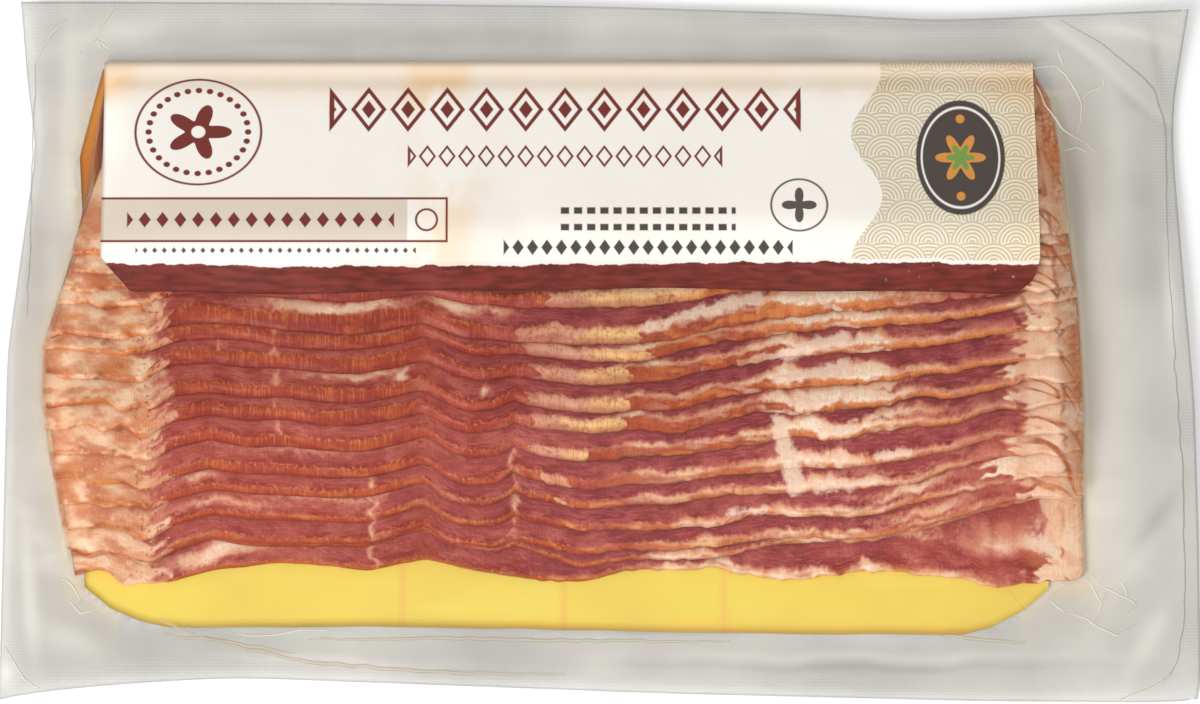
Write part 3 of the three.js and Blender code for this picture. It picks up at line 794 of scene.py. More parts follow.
# slice k as a closed tube: the profile over the cut edge and the face, then back underneath, carried from
# end to end; the ends' x depends on y and y on x, so that both are found in turn
def sliceTube(k):
    upper = upperEdge(k)
    length = rightAt(0) - leftAt(0)
    s = np.linspace(0, 1, pile["samplesAlong"])[:, None]
    onCut = np.linspace(0, 1, pile["cutSamples"])[None, :]
    shown = min(pile["faceShown"], upper - edges[k].max() - cutRuns[k] - 1.5)
    onFace = np.linspace(0, shown, pile["faceSamples"])[None, 1:]
    jitter = 0.7 * math.sin(k * 2.4)

    # x at the share s of the way between the pile's ends at y, which jut out or in a little
    def between(y):
        return (leftAt(y) + jitter) + s * (rightAt(y) - 0.6 * jitter - leftAt(y) - jitter)

    x = leftAt(0) + s * length + np.zeros((1, onCut.shape[1] + onFace.shape[1]))
    for _ in range(4):
        run = cutRunAt(k, x)
        d = np.hstack([onCut * run[:, : onCut.shape[1]], run[:, onCut.shape[1]:] + onFace])
        y = edgeAt(k, x) + d
        x = between(y)
    last = y[:, -1:]
    hidden = last + (upper - last) * np.linspace(0, 1, pile["hiddenSamples"])[None, 1:]
    x, y = np.hstack([x, between(hidden)]), np.hstack([y, hidden])
    fromEnd = np.minimum(s, 1 - s) * length
    roundEnd = np.sqrt(np.clip(1 - (1 - np.clip(fromEnd / 1.6, 0, 1)) ** 2, 0.05, 1))
    rise = np.sin(np.clip((y - edgeAt(k, x)) / cutRunAt(k, x), 0, 1) * math.pi / 2)
    under = underside(k, x, y)
    top = under + thicknessAt(x, y) * (0.08 + 0.92 * rise) * roundEnd
    columns = x.shape[1]
    pick = np.array([columns - 1, columns - 4, columns - 7, pile["cutSamples"] + 8, pile["cutSamples"], 4])
    lowSide = np.stack([x[:, pick], y[:, pick], under[:, pick]], -1)
    loop = np.concatenate([np.stack([x, y, top], -1), lowSide], 1)
    rows, columns = loop.shape[:2]
    points = np.concatenate([loop.reshape(-1, 3), loop[0].mean(0)[None], loop[-1].mean(0)[None]])
    quads = gridQuads(rows, columns, loop=True)[:, ::-1]
    j = np.arange(columns)
    startCap = np.stack([np.full(columns, rows * columns), (j + 1) % columns, j], -1)
    endRow = (rows - 1) * columns
    endCap = np.stack([np.full(columns, rows * columns + 1), endRow + j, endRow + (j + 1) % columns], -1)
    return points, quads.tolist() + startCap.tolist() + endCap.tolist()


# what slice k's colours need to know at each point, three numbers to a map
def sliceFacts(k, points):
    xs, ys = points[:, 0], points[:, 1]
    run, d = cutRunAt(k, xs), ys - edgeAt(k, xs)
    exposed = edgeAt(k + 1, xs) - edgeAt(k, xs) if k + 1 < pile["count"] else np.full(xs.shape, 9.0)
    toNext = exposed - d
    darkUpper = ease(2, 7, k)
    dark = along(meat["darkLow"], xs) * (1 - darkUpper) + along(meat["darkHigh"], xs) * darkUpper
    dark = np.clip(dark + 0.25 * latticeNoise(xs / 9, k * 3.3, 34), 0, 1)
    inner = ease(0.5, 8.0, xs - leftAt(ys)) * ease(1.0, 9.0, rightAt(ys) - xs)
    # painted shade on the face just under the slice above, weaker near the pile's ends and at the fold
    shade = np.exp(-np.clip(toNext, 0, 9) / 0.9) * (0.32 + 0.26 * latticeNoise(xs / 5, k * 2.1, 35))
    shade *= 0.15 + 0.85 * inner
    kink = np.exp(-(((xs - pile["foldX"] + 0.8 * latticeNoise(ys / 3, k, 39)) / 2.6) ** 2))
    shade *= 1 - 0.8 * kink
    lines = np.where(xs < 0, 1.0, 1.0 if k < 12 else 0.0)
    smear, smearDark = smearAt(xs, ys)
    smearShare = smear * (toNext > -1)
    height = np.clip((d - run) / np.maximum(exposed - run, 1.0), 0, 1)
    rightGap = rightAt(ys) - xs
    rim = 0.75 * latticeNoise(xs / 5.0 + d / 2.4, d / 2.0 + k * 5.3, 42)
    rim += 0.45 * latticeNoise(xs / 1.7, d / 0.9 + k * 9.1, 43)
    # lines over the right end climb towards its rim: y + 12 * exp(-gap / 4.5)
    climb = ys + 12 * np.exp(-np.clip(rightGap, 0, 30) / 4.5)
    flow = latticeNoise(climb / 3.2, rightGap / 9.0, 44)
    mottle = 1.3 * cloudNoise(xs / 3.6, ys / 2.2, 45)
    streak = latticeNoise(xs / 7.0, ys / 2.2 + k, 36) * 0.7 + latticeNoise(xs / 2.6, ys / 1.2 + k, 37) * 0.4
    maps = {
        "sliceMap": (xs, d, np.full(xs.shape, k * 7.3)),
        "fatMap": (fatDepth(k, xs, d, run), run - d, cutFatDepth(k, xs, d)),
        "faceMap": (dark, shade, height),
        "cloudMap": (streak, cloudNoise(xs / 9, ys / 6 + k * 1.7, 38), kink),
        "lineMap": (np.full(xs.shape, 1 - ease(3, 7, k)), lines, scrapDepth(xs, ys)),
        "endMap": (rightGap, smearShare, smearDark),
        "rimMap": (rim, flow, mottle),
    }
    return {key: np.stack(values, -1) for key, values in maps.items()}


# slice k as a piece that replaces its solid
def baconSlice(k, material):
    points, faces = sliceTube(k)
    piece = meshFrom(f"bacon_{k + 1:02d}", points, faces, sliceFacts(k, points), [material])
    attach(piece, "root")
    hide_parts(f"bacon_slice_{k + 1:02d}")


bacon = baconMaterial()
for number in range(pile["count"]):
    baconSlice(number, bacon)
print("bacon slices ready")

# the folded card

card = {
    "thickness": 0.5,
    "bottomZ": 0.6,
    "foldY": 66.7,
    "foldInside": 2.6,
    "flapEdgeY": 13.9,
    "flapLeft": -113.8,
    "flapRight": 99.4,
    "lowerLeftCut": 5.0,
    "lowerRightRadius": 8.5,
    "flapGap": 0.35,
    "samplesAcross": 210,
    "backSamples": 60,
    "foldSamples": 12,
    "flapSamples": 70,
    "creaseX": (-45.5, -8.0, 28.8),
}
# back panel's left and right edges as (y, x) and its lower edge as (x, y)
backLeft = [(-65, -118.5), (30, -118.9), (45, -119.6), (66.7, -113.8)]
backRight = [(-65, 103.2), (50, 102.6), (66.7, 99.4)]
backLower = [
    (-119, -54.2), (-113, -59), (-106, -61.9), (-100, -63.4), (-45, -63.2), (25, -64.6), (83, -65.1),
    (90, -63.4), (97, -59.6), (103.2, -54.4),
]
# points of the height maps, 1 mm apart
mapX, mapY = np.linspace(-140, 140, 281), np.linspace(-82, 82, 165)


# height of the pile and the card at those points, spread to neighbours by their largest value and then
# blurred with weights 1, 2, 1, so that what lies on top rides over the slices' edges
def heightMap(spread, blur):
    grid = pileTop(*np.meshgrid(mapX, mapY, indexing="ij"))
    for _ in range(spread):
        for axis in (0, 1):
            grid = np.maximum(grid, np.maximum(np.roll(grid, 1, axis), np.roll(grid, -1, axis)))
    for _ in range(blur):
        for axis in (0, 1):
            grid = (np.roll(grid, 1, axis) + 2 * grid + np.roll(grid, -1, axis)) / 4
    return grid


# value of a height map between its points, straight along both axes
def readMap(grid, x, y):
    u = np.clip(x - mapX[0], 0, len(mapX) - 1.001)
    v = np.clip(y - mapY[0], 0, len(mapY) - 1.001)
    i, j = u.astype(int), v.astype(int)
    u, v = u - i, v - j
    low = grid[i, j] * (1 - u) + grid[i + 1, j] * u
    high = grid[i, j + 1] * (1 - u) + grid[i + 1, j + 1] * u
    return low * (1 - v) + high * v


flapMap = heightMap(2, 6)


# y of the flap's lower edge at x: cut corner at the left, quarter circle r - sqrt(r^2 - u^2) at the right,
# and two slow waves
def flapLower(x):
    left, right = card["lowerLeftCut"], card["lowerRightRadius"]
    fromRight = np.clip(right - (card["flapRight"] + 1.2 - x), 0, right)
    corner = right - np.sqrt(np.clip(right**2 - fromRight**2, 0, None))
    cut = np.clip(left - (x - card["flapLeft"]) * 0.75, 0, left) * 1.5
    wave = 0.5 * np.sin(x * 0.035 + 1.2) + 0.25 * np.sin(x * 0.11)
    return card["flapEdgeY"] + corner + cut + wave


# underside of the flap, never below the top of the fold
def flapZ(x, y):
    foldTop = card["bottomZ"] + card["thickness"] + card["foldInside"]
    return np.maximum(readMap(flapMap, x, y) + card["flapGap"], foldTop)


# both faces of the card as grids of points: the inner one runs from the back panel's lower edge, round the
# fold, to the flap's lower edge; the outer one is the same path pushed out by the thickness
def cardFaces():
    s = np.linspace(0, 1, card["samplesAcross"])[:, None]
    s = s - 0.012 * np.sin(2 * math.pi * s)  # closer together near the sides
    radius = card["foldInside"] / 2
    backTop = card["bottomZ"] + card["thickness"]
    centreY, centreZ = card["foldY"] - card["thickness"] - radius, backTop + radius
    t = np.linspace(0, 1, card["backSamples"])[None, :]
    x = backLower[0][0] + s * (backLower[-1][0] - backLower[0][0])
    lower = along(backLower, x) + 0.15 * latticeNoise(x / 9, 0.0, 41)
    y = lower + (centreY - lower) * t
    left, right = along(backLeft, y), along(backRight, y)
    xBack = left + s * (right - left)
    back = np.stack([xBack, y + 0 * xBack, np.full(xBack.shape, backTop)], -1)
    backDown = back - [0, 0, card["thickness"]]
    angle = np.linspace(-math.pi / 2, math.pi / 2, card["foldSamples"] + 2)[None, 1:-1]
    xFold = card["flapLeft"] + s * (card["flapRight"] - card["flapLeft"]) + 0 * angle

    # half circle of the given radius round the fold's axis, at every xFold
    def turn(r):
        y, z = centreY + r * np.cos(angle), centreZ + r * np.sin(angle)
        return np.stack(np.broadcast_arrays(xFold, y, z), -1)

    fold, foldOut = turn(radius), turn(radius + card["thickness"])
    f = np.linspace(0, 1, card["flapSamples"])[None, :]
    widen = 1.2 * f  # the flap is a little wider at its lower edge
    xFirst, xLast = card["flapLeft"] - 0.2 * widen, card["flapRight"] + widen
    xFlap = xFirst + s * (xLast - xFirst)
    yFlap = centreY + (flapLower(xFlap) - centreY) * f
    zFlap = flapZ(xFlap, yFlap)
    settle = ease(0, 0.1, f)
    zFlap = (backTop + 2 * radius) * (1 - settle) + zFlap * settle
    flap = np.stack([xFlap, yFlap, zFlap], -1)
    flapUp = flap + [0, 0, card["thickness"]]
    return np.concatenate([back, fold, flap], 1), np.concatenate([backDown, foldOut, flapUp], 1)


# the card is one bent sheet: both faces and the four narrow sides between them
def makeCard(inside, outside):
    inner, outer = cardFaces()
    rows, columns = inner.shape[:2]
    points = np.concatenate([inner.reshape(-1, 3), outer.reshape(-1, 3)])
    count = rows * columns
    innerQuads = gridQuads(rows, columns)[:, ::-1]
    outerQuads = gridQuads(rows, columns, count)
    i, j = np.arange(rows - 1), np.arange(columns - 1)
    firstSide = np.stack([j, j + 1, count + j + 1, count + j], -1)[:, ::-1]
    lastRow = (rows - 1) * columns
    lastSide = firstSide[:, ::-1] + lastRow
    here, after = i * columns, (i + 1) * columns
    lowSide = np.stack([here, count + here, count + after, after], -1)[:, ::-1]
    highSide = lowSide[:, ::-1] + columns - 1
    faces = np.concatenate([innerQuads, outerQuads, firstSide, lastSide, lowSide, highSide])
    kinds = np.zeros(len(faces), int)
    kinds[len(innerQuads):] = 1
    isFlap = np.zeros((rows, columns))
    isFlap[:, card["backSamples"]:] = 1
    attributes = {"isFlap": np.concatenate([isFlap.ravel(), isFlap.ravel()])}
    piece = meshFrom("folded_card", points, faces, attributes, [inside, outside], kinds)
    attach(piece, "root")
    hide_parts("label_card")


# yellow with soft clouds, deeper below, paler streaks of painted sheen, thin creases drawn as painted shade
# and an orange stain at the upper left
def yellowMaterial():
    kit = Kit("yellow card")
    place = kit.inMm()
    x, y, _ = kit.axes(place)
    cloud = kit.noise(place, 0.03, 3.0, 0.5)
    colour = kit.blend(kit.rise(0.35, 0.7, cloud), tint(238, 212, 90), tint(234, 203, 88))
    colour = kit.blend(kit.rise(-60.5, -65.0, y + (cloud - 0.5) * 6.0) * 0.7, colour, tint(244, 196, 84))
    # painted sheen: paler streaks
    sheen = kit.noise(kit.stretch(place, (1.0, 5.0, 1.0)), 0.02, 2.0, 0.5)
    colour = kit.blend(kit.rise(0.5, 0.75, sheen) * 0.5, colour, tint(243, 222, 112))
    # painted shade along the three upright creases and the diagonal one at the lower right, drawn as orange
    # lines
    creases = 0.0
    for crease in card["creaseX"]:
        creases = kit.rise(1.6, 0.1, abs(x - crease - (cloud - 0.5) * 3.0)) + creases
    corner = kit.rise(0.5, 0.05, abs((x - 93.8) * 0.77 + (y + 54.5) * 0.64)) * kit.rise(90.0, 93.0, x)
    colour = kit.blend((creases + corner) * 0.45, colour, tint(236, 182, 92))
    # orange where the meat's fat has soaked in at the upper left
    soaked = kit.rise(-108.0, -114.0, x) * kit.rise(30.0, 40.0, y)
    soakedTone = kit.blend(kit.rise(0.4, 0.6, cloud), tint(240, 160, 60), tint(236, 140, 52))
    colour = kit.blend(soaked, colour, soakedTone)
    relief = kit.bump(cloud, 0.3, 0.001)
    return kit.finish(Base_Color=colour, Roughness=0.45, Specular_IOR_Level=0.3, Normal=relief)


label = {
    "paper": tint(255, 250, 243),
    "strip": tint(238, 226, 212),
    "red": tint(120, 38, 36),
    "tan": tint(205, 190, 158),
    "panelTan": tint(222, 205, 184),
    "charcoal": tint(72, 64, 63),
    "grey": tint(88, 80, 78),
    "green": tint(118, 160, 78),
    "orange": tint(224, 150, 66),
    "stain": tint(248, 214, 170),
    "bandTop": 20.0,
    "edge": 0.16,  # softness of a printed edge, mm
}


# the label's plain ornaments, drawn as signed distances in mm: below zero is inside the shape; each group of
# them is a list of layers with shape, colour and at times strength, printed in turn
def labelMaterial():
    kit = Kit("printed card")
    place = kit.inMm()
    x, y, _ = kit.axes(place)
    flap = kit.fact("isFlap")

    # 0 to half and back to 0, over and over
    def zigzag(value, half):
        return kit.maths("PINGPONG", value, half)

    def hypot(a, b):
        return kit.maths("SQRT", a * a + b * b)

    # angle and distance seen from (cx, cy), with heights divided by squash
    def polar(cx, cy, squash):
        dx, dy = x - cx, (y - cy) / squash
        return kit.maths("ARCTAN2", dy, dx), hypot(dx, dy)

    def ellipse(cx, cy, rx, ry):
        far = kit.maths("SQRT", ((x - cx) / rx) ** 2.0 + ((y - cy) / ry) ** 2.0)
        return (far - 1.0) * min(rx, ry)

    def box(cx, cy, halfX, halfY):
        return kit.most(abs(x - cx) - halfX, abs(y - cy) - halfY)

    # chain of lozenges from x0 to x1, every pitch mm
    def lozenges(x0, x1, cy, pitch, halfX, halfY):
        u = zigzag(x - x0, pitch / 2)
        shape = (u / halfX + abs(y - cy) / halfY - 1.0) * min(halfX, halfY)
        return kit.most(shape, abs(x - (x0 + x1) / 2) - (x1 - x0) / 2)

    # flower with petals whose radius is r + wave * cos(petals * angle)
    def flower(cx, cy, r, wave, petals, squash=1.0):
        angle, far = polar(cx, cy, squash)
        return far - r - wave * kit.maths("COSINE", angle * petals)

    def ink(under, shape, colour, strength=1.0):
        return kit.blend(kit.rise(label["edge"], -label["edge"], shape) * strength, under, colour)

    # right panel: rows of fans, each of three arcs, with a wavy border towards the middle of the label
    def fanPanel(wide=10.0, high=5.0):
        row = kit.maths("FLOOR", y / high)
        near = zigzag(x + zigzag(row, 1.0) * (wide / 2), wide / 2)
        rest = y - row * high
        farNear, farSide = hypot(near, rest), hypot(wide / 2 - near, rest + high)
        inside = kit.maths("LESS_THAN", farNear, wide / 2)
        far = farNear * inside + farSide * (1.0 - inside)
        arcs = abs(zigzag(far, 0.85) - 0.42) - 0.2
        panel = kit.most(61.0 - x + kit.maths("SINE", y * 0.22) * 3.5, 20.6 - y)
        return [(panel, tint(246, 239, 222)), (kit.most(arcs, panel), label["tan"])]

    # dark oval badge on the panel, with a thin ring, a two-coloured flower and two dots
    def badge(cx=82.5, cy=44.5):
        oval = ellipse(cx, cy, 10.2, 13.2)
        return [
            (oval, label["charcoal"]),
            (abs(oval + 1.3) - 0.22, label["paper"]),
            (flower(cx, cy, 4.1, 1.7, 6.0), label["orange"]),
            (flower(cx, cy, 2.4, 0.9, 6.0), label["green"]),
            *[(ellipse(cx, dotY, 1.0, 1.0), label["orange"]) for dotY in (35.6, 53.4)],
        ]

    # two headline rows: hollow lozenges with filled hearts, and a finer row under them
    def headlines():
        big, small = lozenges(-62.0, 46.0, 55.6, 9.0, 4.1, 5.2), lozenges(-44.0, 28.0, 44.8, 4.5, 2.0, 2.6)
        hearts = lozenges(-62.0, 46.0, 55.6, 9.0, 1.6, 2.1)
        shapes = (kit.most(big, -1.1 - big), hearts, kit.most(small, -0.62 - small))
        return [(shape, label["red"]) for shape in shapes]

    # small ring with a four-leaved flower, two rows of dashes and a chain of lozenges
    def middleMarks():
        dashes = kit.most(zigzag(x + 74.0, 1.5) - 0.95, abs(abs(y - 30.4) - 1.9) - 0.75)
        return [
            (abs(ellipse(45.5, 33.6, 6.4, 5.9)) - 0.22, label["grey"]),
            (flower(45.5, 33.6, 2.6, 1.4, 4.0), label["grey"]),
            (kit.most(dashes, box(11.0, 30.4, 20.0, 4.0)), label["charcoal"]),
            (lozenges(-22.0, 44.0, 23.9, 3.3, 1.3, 1.8), label["charcoal"]),
        ]

    # round ornament at the left: a ring, a ring of dots and a flower with a pale heart
    def roundOrnament(cx=-92.0, cy=50.4, squash=0.84):
        angle, far = polar(cx, cy, squash)
        spoke = zigzag(angle, math.pi / 28) * 11.2
        return [
            (abs(ellipse(cx, cy, 14.4, 14.4 * squash)) - 0.24, label["red"]),
            (hypot(spoke, far - 11.4) - 0.75, label["red"]),
            (flower(cx, cy, 5.4, 2.3, 5.0, squash), label["red"]),
            (ellipse(cx, cy, 1.6, 1.4), label["paper"]),
        ]

    # framed panel from the left edge, with a ring and a chain of lozenges, and a fine chain below it
    def framedPanel():
        frameBox = box(-76.0, 30.2, 41.0, 4.9)
        return [
            (kit.most(frameBox, x + 44.0), label["panelTan"], 0.8),
            (abs(frameBox) - 0.26, label["red"]),
            (abs(ellipse(-39.6, 30.2, 2.4, 2.4)) - 0.25, label["red"]),
            (lozenges(-108.0, -47.0, 30.2, 4.07, 1.4, 1.8), label["red"]),
            (lozenges(-106.0, -42.0, 23.2, 2.2, 0.6, 0.7), label["grey"]),
        ]

    cloud = kit.noise(place, 0.045, 3.0, 0.55)
    fine = kit.noise(place, 0.9, 3.0, 0.6)
    colour = kit.blend(kit.rise(0.4, 0.7, cloud) * 0.4, label["paper"], tint(252, 246, 237))
    for group in (fanPanel, badge, headlines, middleMarks, roundOrnament, framedPanel):
        for layer in group():
            colour = ink(colour, *layer)

    # dark red foot band with a torn upper edge and a pale line above it
    torn = (kit.noise(kit.join(x, 3.0, 0.0), 0.16, 4.0, 0.6) - 0.5) * 3.0
    torn = torn + kit.maths("SINE", x * 0.03) * 0.5 + label["bandTop"]
    bandNoise = kit.noise(kit.stretch(place, (0.35, 1.6, 1.0)), 0.5, 3.0, 0.6)
    bandTone = kit.blend(kit.rise(0.3, 0.7, bandNoise), tint(92, 8, 10), tint(132, 40, 36))
    colour = ink(colour, kit.most(y - torn - 0.9, torn - y), tint(246, 242, 236))
    colour = ink(colour, y - torn, bandTone)
    scuffNoise = kit.noise(kit.stretch(place, (1.0, 0.5, 1.0)), 0.9, 3.0, 0.7)
    scuff = kit.rise(0.66, 0.72, scuffNoise) * kit.rise(58.0, 64.0, x)
    colour = kit.blend(scuff * kit.rise(0.3, 0.0, y - torn) * 0.7, colour, tint(222, 190, 184))

    # grease stains, strongest near the fold
    stainNoise = kit.noise(kit.stretch(place, (1.0, 0.45, 1.0)), 0.06, 3.0, 0.6)
    nearFold = kit.rise(54.0, 66.0, y + (stainNoise - 0.5) * 14.0)
    streak = kit.rise(13.0, 3.0, abs(x + 36.0 + (cloud - 0.5) * 24.0)) * kit.rise(0.42, 0.6, stainNoise)
    right = kit.rise(84.0, 100.0, x + (stainNoise - 0.5) * 22.0)
    corner = kit.rise(-103.0, -114.0, x + (stainNoise - 0.5) * 8.0) * kit.rise(54.0, 64.0, y)
    stain = kit.least(nearFold * 0.55 + streak * 0.5 + right * 0.3 + corner * 0.8, 0.9)
    colour = kit.blend(stain, colour, label["stain"], "MULTIPLY")
    # painted shade along the strip where the flap turns down to the fold
    colour = kit.blend(kit.rise(62.6, 63.6, y) * 0.35, colour, label["strip"])

    back = kit.blend(kit.rise(0.4, 0.7, cloud), tint(240, 234, 224), tint(234, 226, 214))
    colour = kit.blend(flap, back, colour)
    relief = kit.bump(cloud, 0.25, 0.001)
    return kit.finish(Base_Color=colour, Roughness=0.4 + 0.15 * fine, Specular_IOR_Level=0.12, Normal=relief)


makeCard(yellowMaterial(), labelMaterial())
print("folded card ready")

# the film bag

film = {
    "samplesX": 350,
    "samplesY": 205,
    "marginZ": 2.2,
    "marginThickness": 0.5,
    "wave": 0.9,
    "cornerCurl": 3.2,
    "clearance": 0.3,
    "skirtReach": 6.0,
    "alphaOverFood": 0.035,
    "alphaMargin": 0.45,
    "knurlPitch": 1.15,
    # width and height of the ridges
    "crease": (0.42, 0.2),
    "softLine": (0.9, 0.12),
    "rimLine": (0.35, 0.08),
}
# the bag's four bowed sides as (x, y): bottom and top run to the right, left and right run upwards
halfWidth, halfDepth = 138.0, 80.5
bagSides = {
    "bottom": [
        (-138, -79.8), (-131, -78.2), (-108, -76.1), (-84, -74.8), (-46, -76.2), (13, -78.4), (87, -80.2),
        (133.7, -80.5), (137.1, -79.6),
    ],
    "top": [
        (-132.9, 80.4), (-115, 80.5), (-60, 80.2), (0, 79.4), (46, 78), (78, 76.2), (92, 76.8),
        (135.2, 78.7),
    ],
    "left": [
        (-138, -79.8), (-137.1, -41), (-136.2, 0), (-132.2, 28), (-129.5, 47), (-131.3, 60), (-132.9, 80.4),
    ],
    "right": [
        (137.1, -79.6), (138, -76.2), (137.6, -41), (136.6, -11), (134.2, 16), (131.7, 46), (131.8, 57),
        (135.2, 78.7),
    ],
}
# thin bright folds of the film, as (x, y)
creases = [
    [(-111.6, 79.6), (-115.5, 73.6), (-115.7, 71.8)], [(-119.5, 68.5), (-115.5, 71.8), (-112.4, 69.6)],
    [(-115.7, 71.8), (-114.2, 69.5)], [(-121.7, 76.8), (-125.4, 74.1), (-128.3, 69.9), (-129.5, 66)],
    [(98.9, 65.0), (104.6, 65.6), (107.2, 63.5), (109.7, 59.6), (110.6, 57), (110.4, 53.1), (109.7, 49.8)],
    [(105.1, 69.8), (106.6, 65)], [(110.2, 57.5), (112.7, 60), (115.8, 61)], [(115.8, 61), (115.6, 62.6)],
    [(100.1, 61.4), (103.7, 54), (106.3, 51.1), (111.2, 48.1), (114.7, 45.1)],
    [(106.3, 46), (109.2, 47), (112.7, 45.3)],
    [(112.1, -50), (114.8, -53.8), (116.7, -54.4), (122.8, -57.3), (123.4, -58.2), (121.4, -59.8)],
    [(111.8, -52), (115.6, -58.7)], [(106.7, -59.8), (111.8, -61.4), (118.7, -65.3), (123.5, -62.6)],
    [(116.7, -54.4), (115, -58.6), (114.1, -61.9)], [(119.6, -52), (120.8, -54.3), (121.4, -57)],
    [(103.5, -57), (106.7, -59.8)], [(-84.2, -64.7), (-78, -65.4), (-69, -63.9), (-63, -63.8)],
    [(-136.6, -67.4), (-132.3, -75.2), (-128.8, -77.4)], [(119.6, -79.6), (126.5, -77.4), (132.3, -73.1)],
    [(-122.5, -56.5), (-119.5, -60), (-114.8, -58.8)], [(-124, -52), (-121, -53.5), (-119.4, -57)],
]
# long soft lines where the film lies against itself: cream below the card
softLines = [
    [(-101.7, -61.6), (-92, -65.4), (-82.6, -67.9), (-67.2, -71.2), (-41.4, -73.4), (-8, -74.2)],
    [(-66.7, -66.0), (-40, -65.6), (-9.2, -66.2), (30, -66.6)], [(78.2, -64.9), (89.7, -66.2), (98, -66.9)],
    [(-100, -65.0), (-86, -66.6), (-70, -69.3)],
]
# thin darker lines: the rim of the pocket that the bag was formed with
rimLines = [
    [(105.8, 76.4), (117.3, 69.5), (121.9, 65.3), (127.5, 60.3), (130, 51.1), (130.2, 33.6), (130.6, 20.7)],
    [
        (130.6, 20.7), (131.6, 8), (132.2, -5.8), (134.1, -29.4), (134.3, -57), (133.9, -63.9), (132.3, -72),
        (129.6, -75.4),
    ],
    [(-129.5, 66), (-130.1, 52), (-130.6, 30), (-131.5, 8)],
]
# broad soft patches of painted reflections and painted shade on the margin's folds and slopes, as
# (x, y, half length, half width, turn in degrees, lightness)
lightAndShadePatches = [
    (-121.5, 48, 2.2, 22, 0, 0.9), (-124.5, 10, 2.4, 26, 3, 0.5), (-112, 73, 14, 2.6, 12, 0.5),
    (112, 68, 18, 1.6, -38, 0.7), (116, 63.5, 18, 1.3, -40, -0.5), (119, 44, 3, 16, 4, 0.45),
    (113.5, 10, 1.6, 26, 2, 0.9), (121, 0, 5, 44, 1, 0.3), (131, 12, 1.4, 10, 2, 0.7),
    (115, -8, 4.5, 46, 0, 1.0), (125, -42, 2, 14, -38, -0.5), (121, -48, 3.6, 8, -38, 0.6),
    (-131, -56, 1.6, 14, 4, 0.8), (-122, -66, 8, 3, -20, 0.5), (-60, -71, 22, 1.0, -3, 0.5),
    (60, -70, 40, 1.0, 0, 0.45), (60, -72.6, 46, 0.8, 0, -0.35), (-20, 72, 60, 2.5, 0, -0.2),
    (50, 73, 30, 1.2, 0, 0.25), (-70, 71, 26, 1.0, 0, -0.2), (126, -66, 2.2, 9, -30, 0.5),
    (-136, -74, 2.5, 2.5, 0, 0.8), (122, 73, 10, 1.4, -10, 0.5), (128, 66, 1.2, 8, 12, -0.4),
]


# curve along the points with rounded corners, read at equal steps of its length
def evenCurve(points, count, rounding=45):
    points = np.array(points, float)
    length = np.concatenate([[0], np.cumsum(np.hypot(*np.diff(points, axis=0).T))])
    fine = np.linspace(0, length[-1], 2000)
    x, y = (soften(np.interp(fine, length, points[:, i]), rounding) for i in (0, 1))
    x[0], y[0], x[-1], y[-1] = *points[0], *points[-1]
    run = np.concatenate([[0], np.cumsum(np.hypot(np.diff(x), np.diff(y)))])
    even = np.linspace(0, run[-1], count)
    return np.stack([np.interp(even, run, x), np.interp(even, run, y)], -1)


# sheet between the four sides: both pairs of sides blended across, less the blend of the corners
def bagSheet():
    nx, ny = film["samplesX"], film["samplesY"]
    bottom, top = evenCurve(bagSides["bottom"], nx), evenCurve(bagSides["top"], nx)
    left, right = evenCurve(bagSides["left"], ny), evenCurve(bagSides["right"], ny)
    u, v = np.linspace(0, 1, nx)[:, None, None], np.linspace(0, 1, ny)[None, :, None]
    across = bottom[:, None] * (1 - v) + top[:, None] * v
    upward = left[None] * (1 - u) + right[None] * u
    corners = (bottom[0] * (1 - u) + bottom[-1] * u) * (1 - v) + (top[0] * (1 - u) + top[-1] * u) * v
    return across + upward - corners


# distance outside the card and the pile, in mm, and the nearest point on them
def outside(x, y):
    left = np.minimum(leftAt(y), along(backLeft, y))
    right = np.maximum(rightAt(y), along(backRight, y))
    lower = along(backLower, x)
    cx, cy = np.clip(x, left, right), np.clip(y, lower, card["foldY"])
    return np.hypot(x - cx, y - cy), cx, cy


# depth inside the pile or the card, whichever is more; negative outside both
def coverDepth(x, y):
    across = np.minimum(x - leftAt(y), rightAt(y) - x)
    inPile = np.minimum(across, np.minimum(y - edgeAt(0, x), card["foldY"] - y))
    across = np.minimum(x - along(backLeft, y), along(backRight, y) - x)
    inCard = np.minimum(across, np.minimum(y - along(backLower, x), card["foldY"] - y))
    return np.maximum(inPile, inCard)


# underside of the bag's margin: a slow wave, and corners that rise with |x|^6 * |y|^4
def marginZ(x, y):
    wave = np.sin(x * 0.055 + 0.6) * np.cos(y * 0.06 - 0.4)
    corner = np.abs(x / halfWidth) ** 6 * np.abs(y / halfDepth) ** 4
    return film["marginZ"] + film["wave"] * wave + film["cornerCurl"] * corner


filmMap = heightMap(2, 3)


# film over everything: the contents' height, and outside them a skirt that falls off with the distance
def filmTopZ(x, y):
    gone, _, cy = outside(x, y)
    inX = np.clip(x, leftAt(cy) + 1.0, rightAt(cy) - 1.0)
    inY = np.clip(cy, -63, card["foldY"] - 2.5)
    contents = readMap(filmMap, inX, inY)
    onFlap = (inY > flapLower(inX) - 1.0) & (inX > card["flapLeft"] - 1) & (inX < card["flapRight"] + 1.5)
    flapTop = np.maximum(contents, flapZ(inX, inY) + card["thickness"])
    contents = np.where(onFlap, flapTop, contents) + film["clearance"]
    edge = np.minimum(1, 1.15 * np.exp(-((gone / film["skirtReach"]) ** 1.15)))
    ripple = 0.2 * cloudNoise(x / 18, y / 11, 51) * ease(2, 9, gone)
    floorZ = marginZ(x, y) + film["marginThickness"]
    return floorZ + np.maximum(contents - floorZ, 0) * edge * ease(30, 12, gone) + ripple, gone
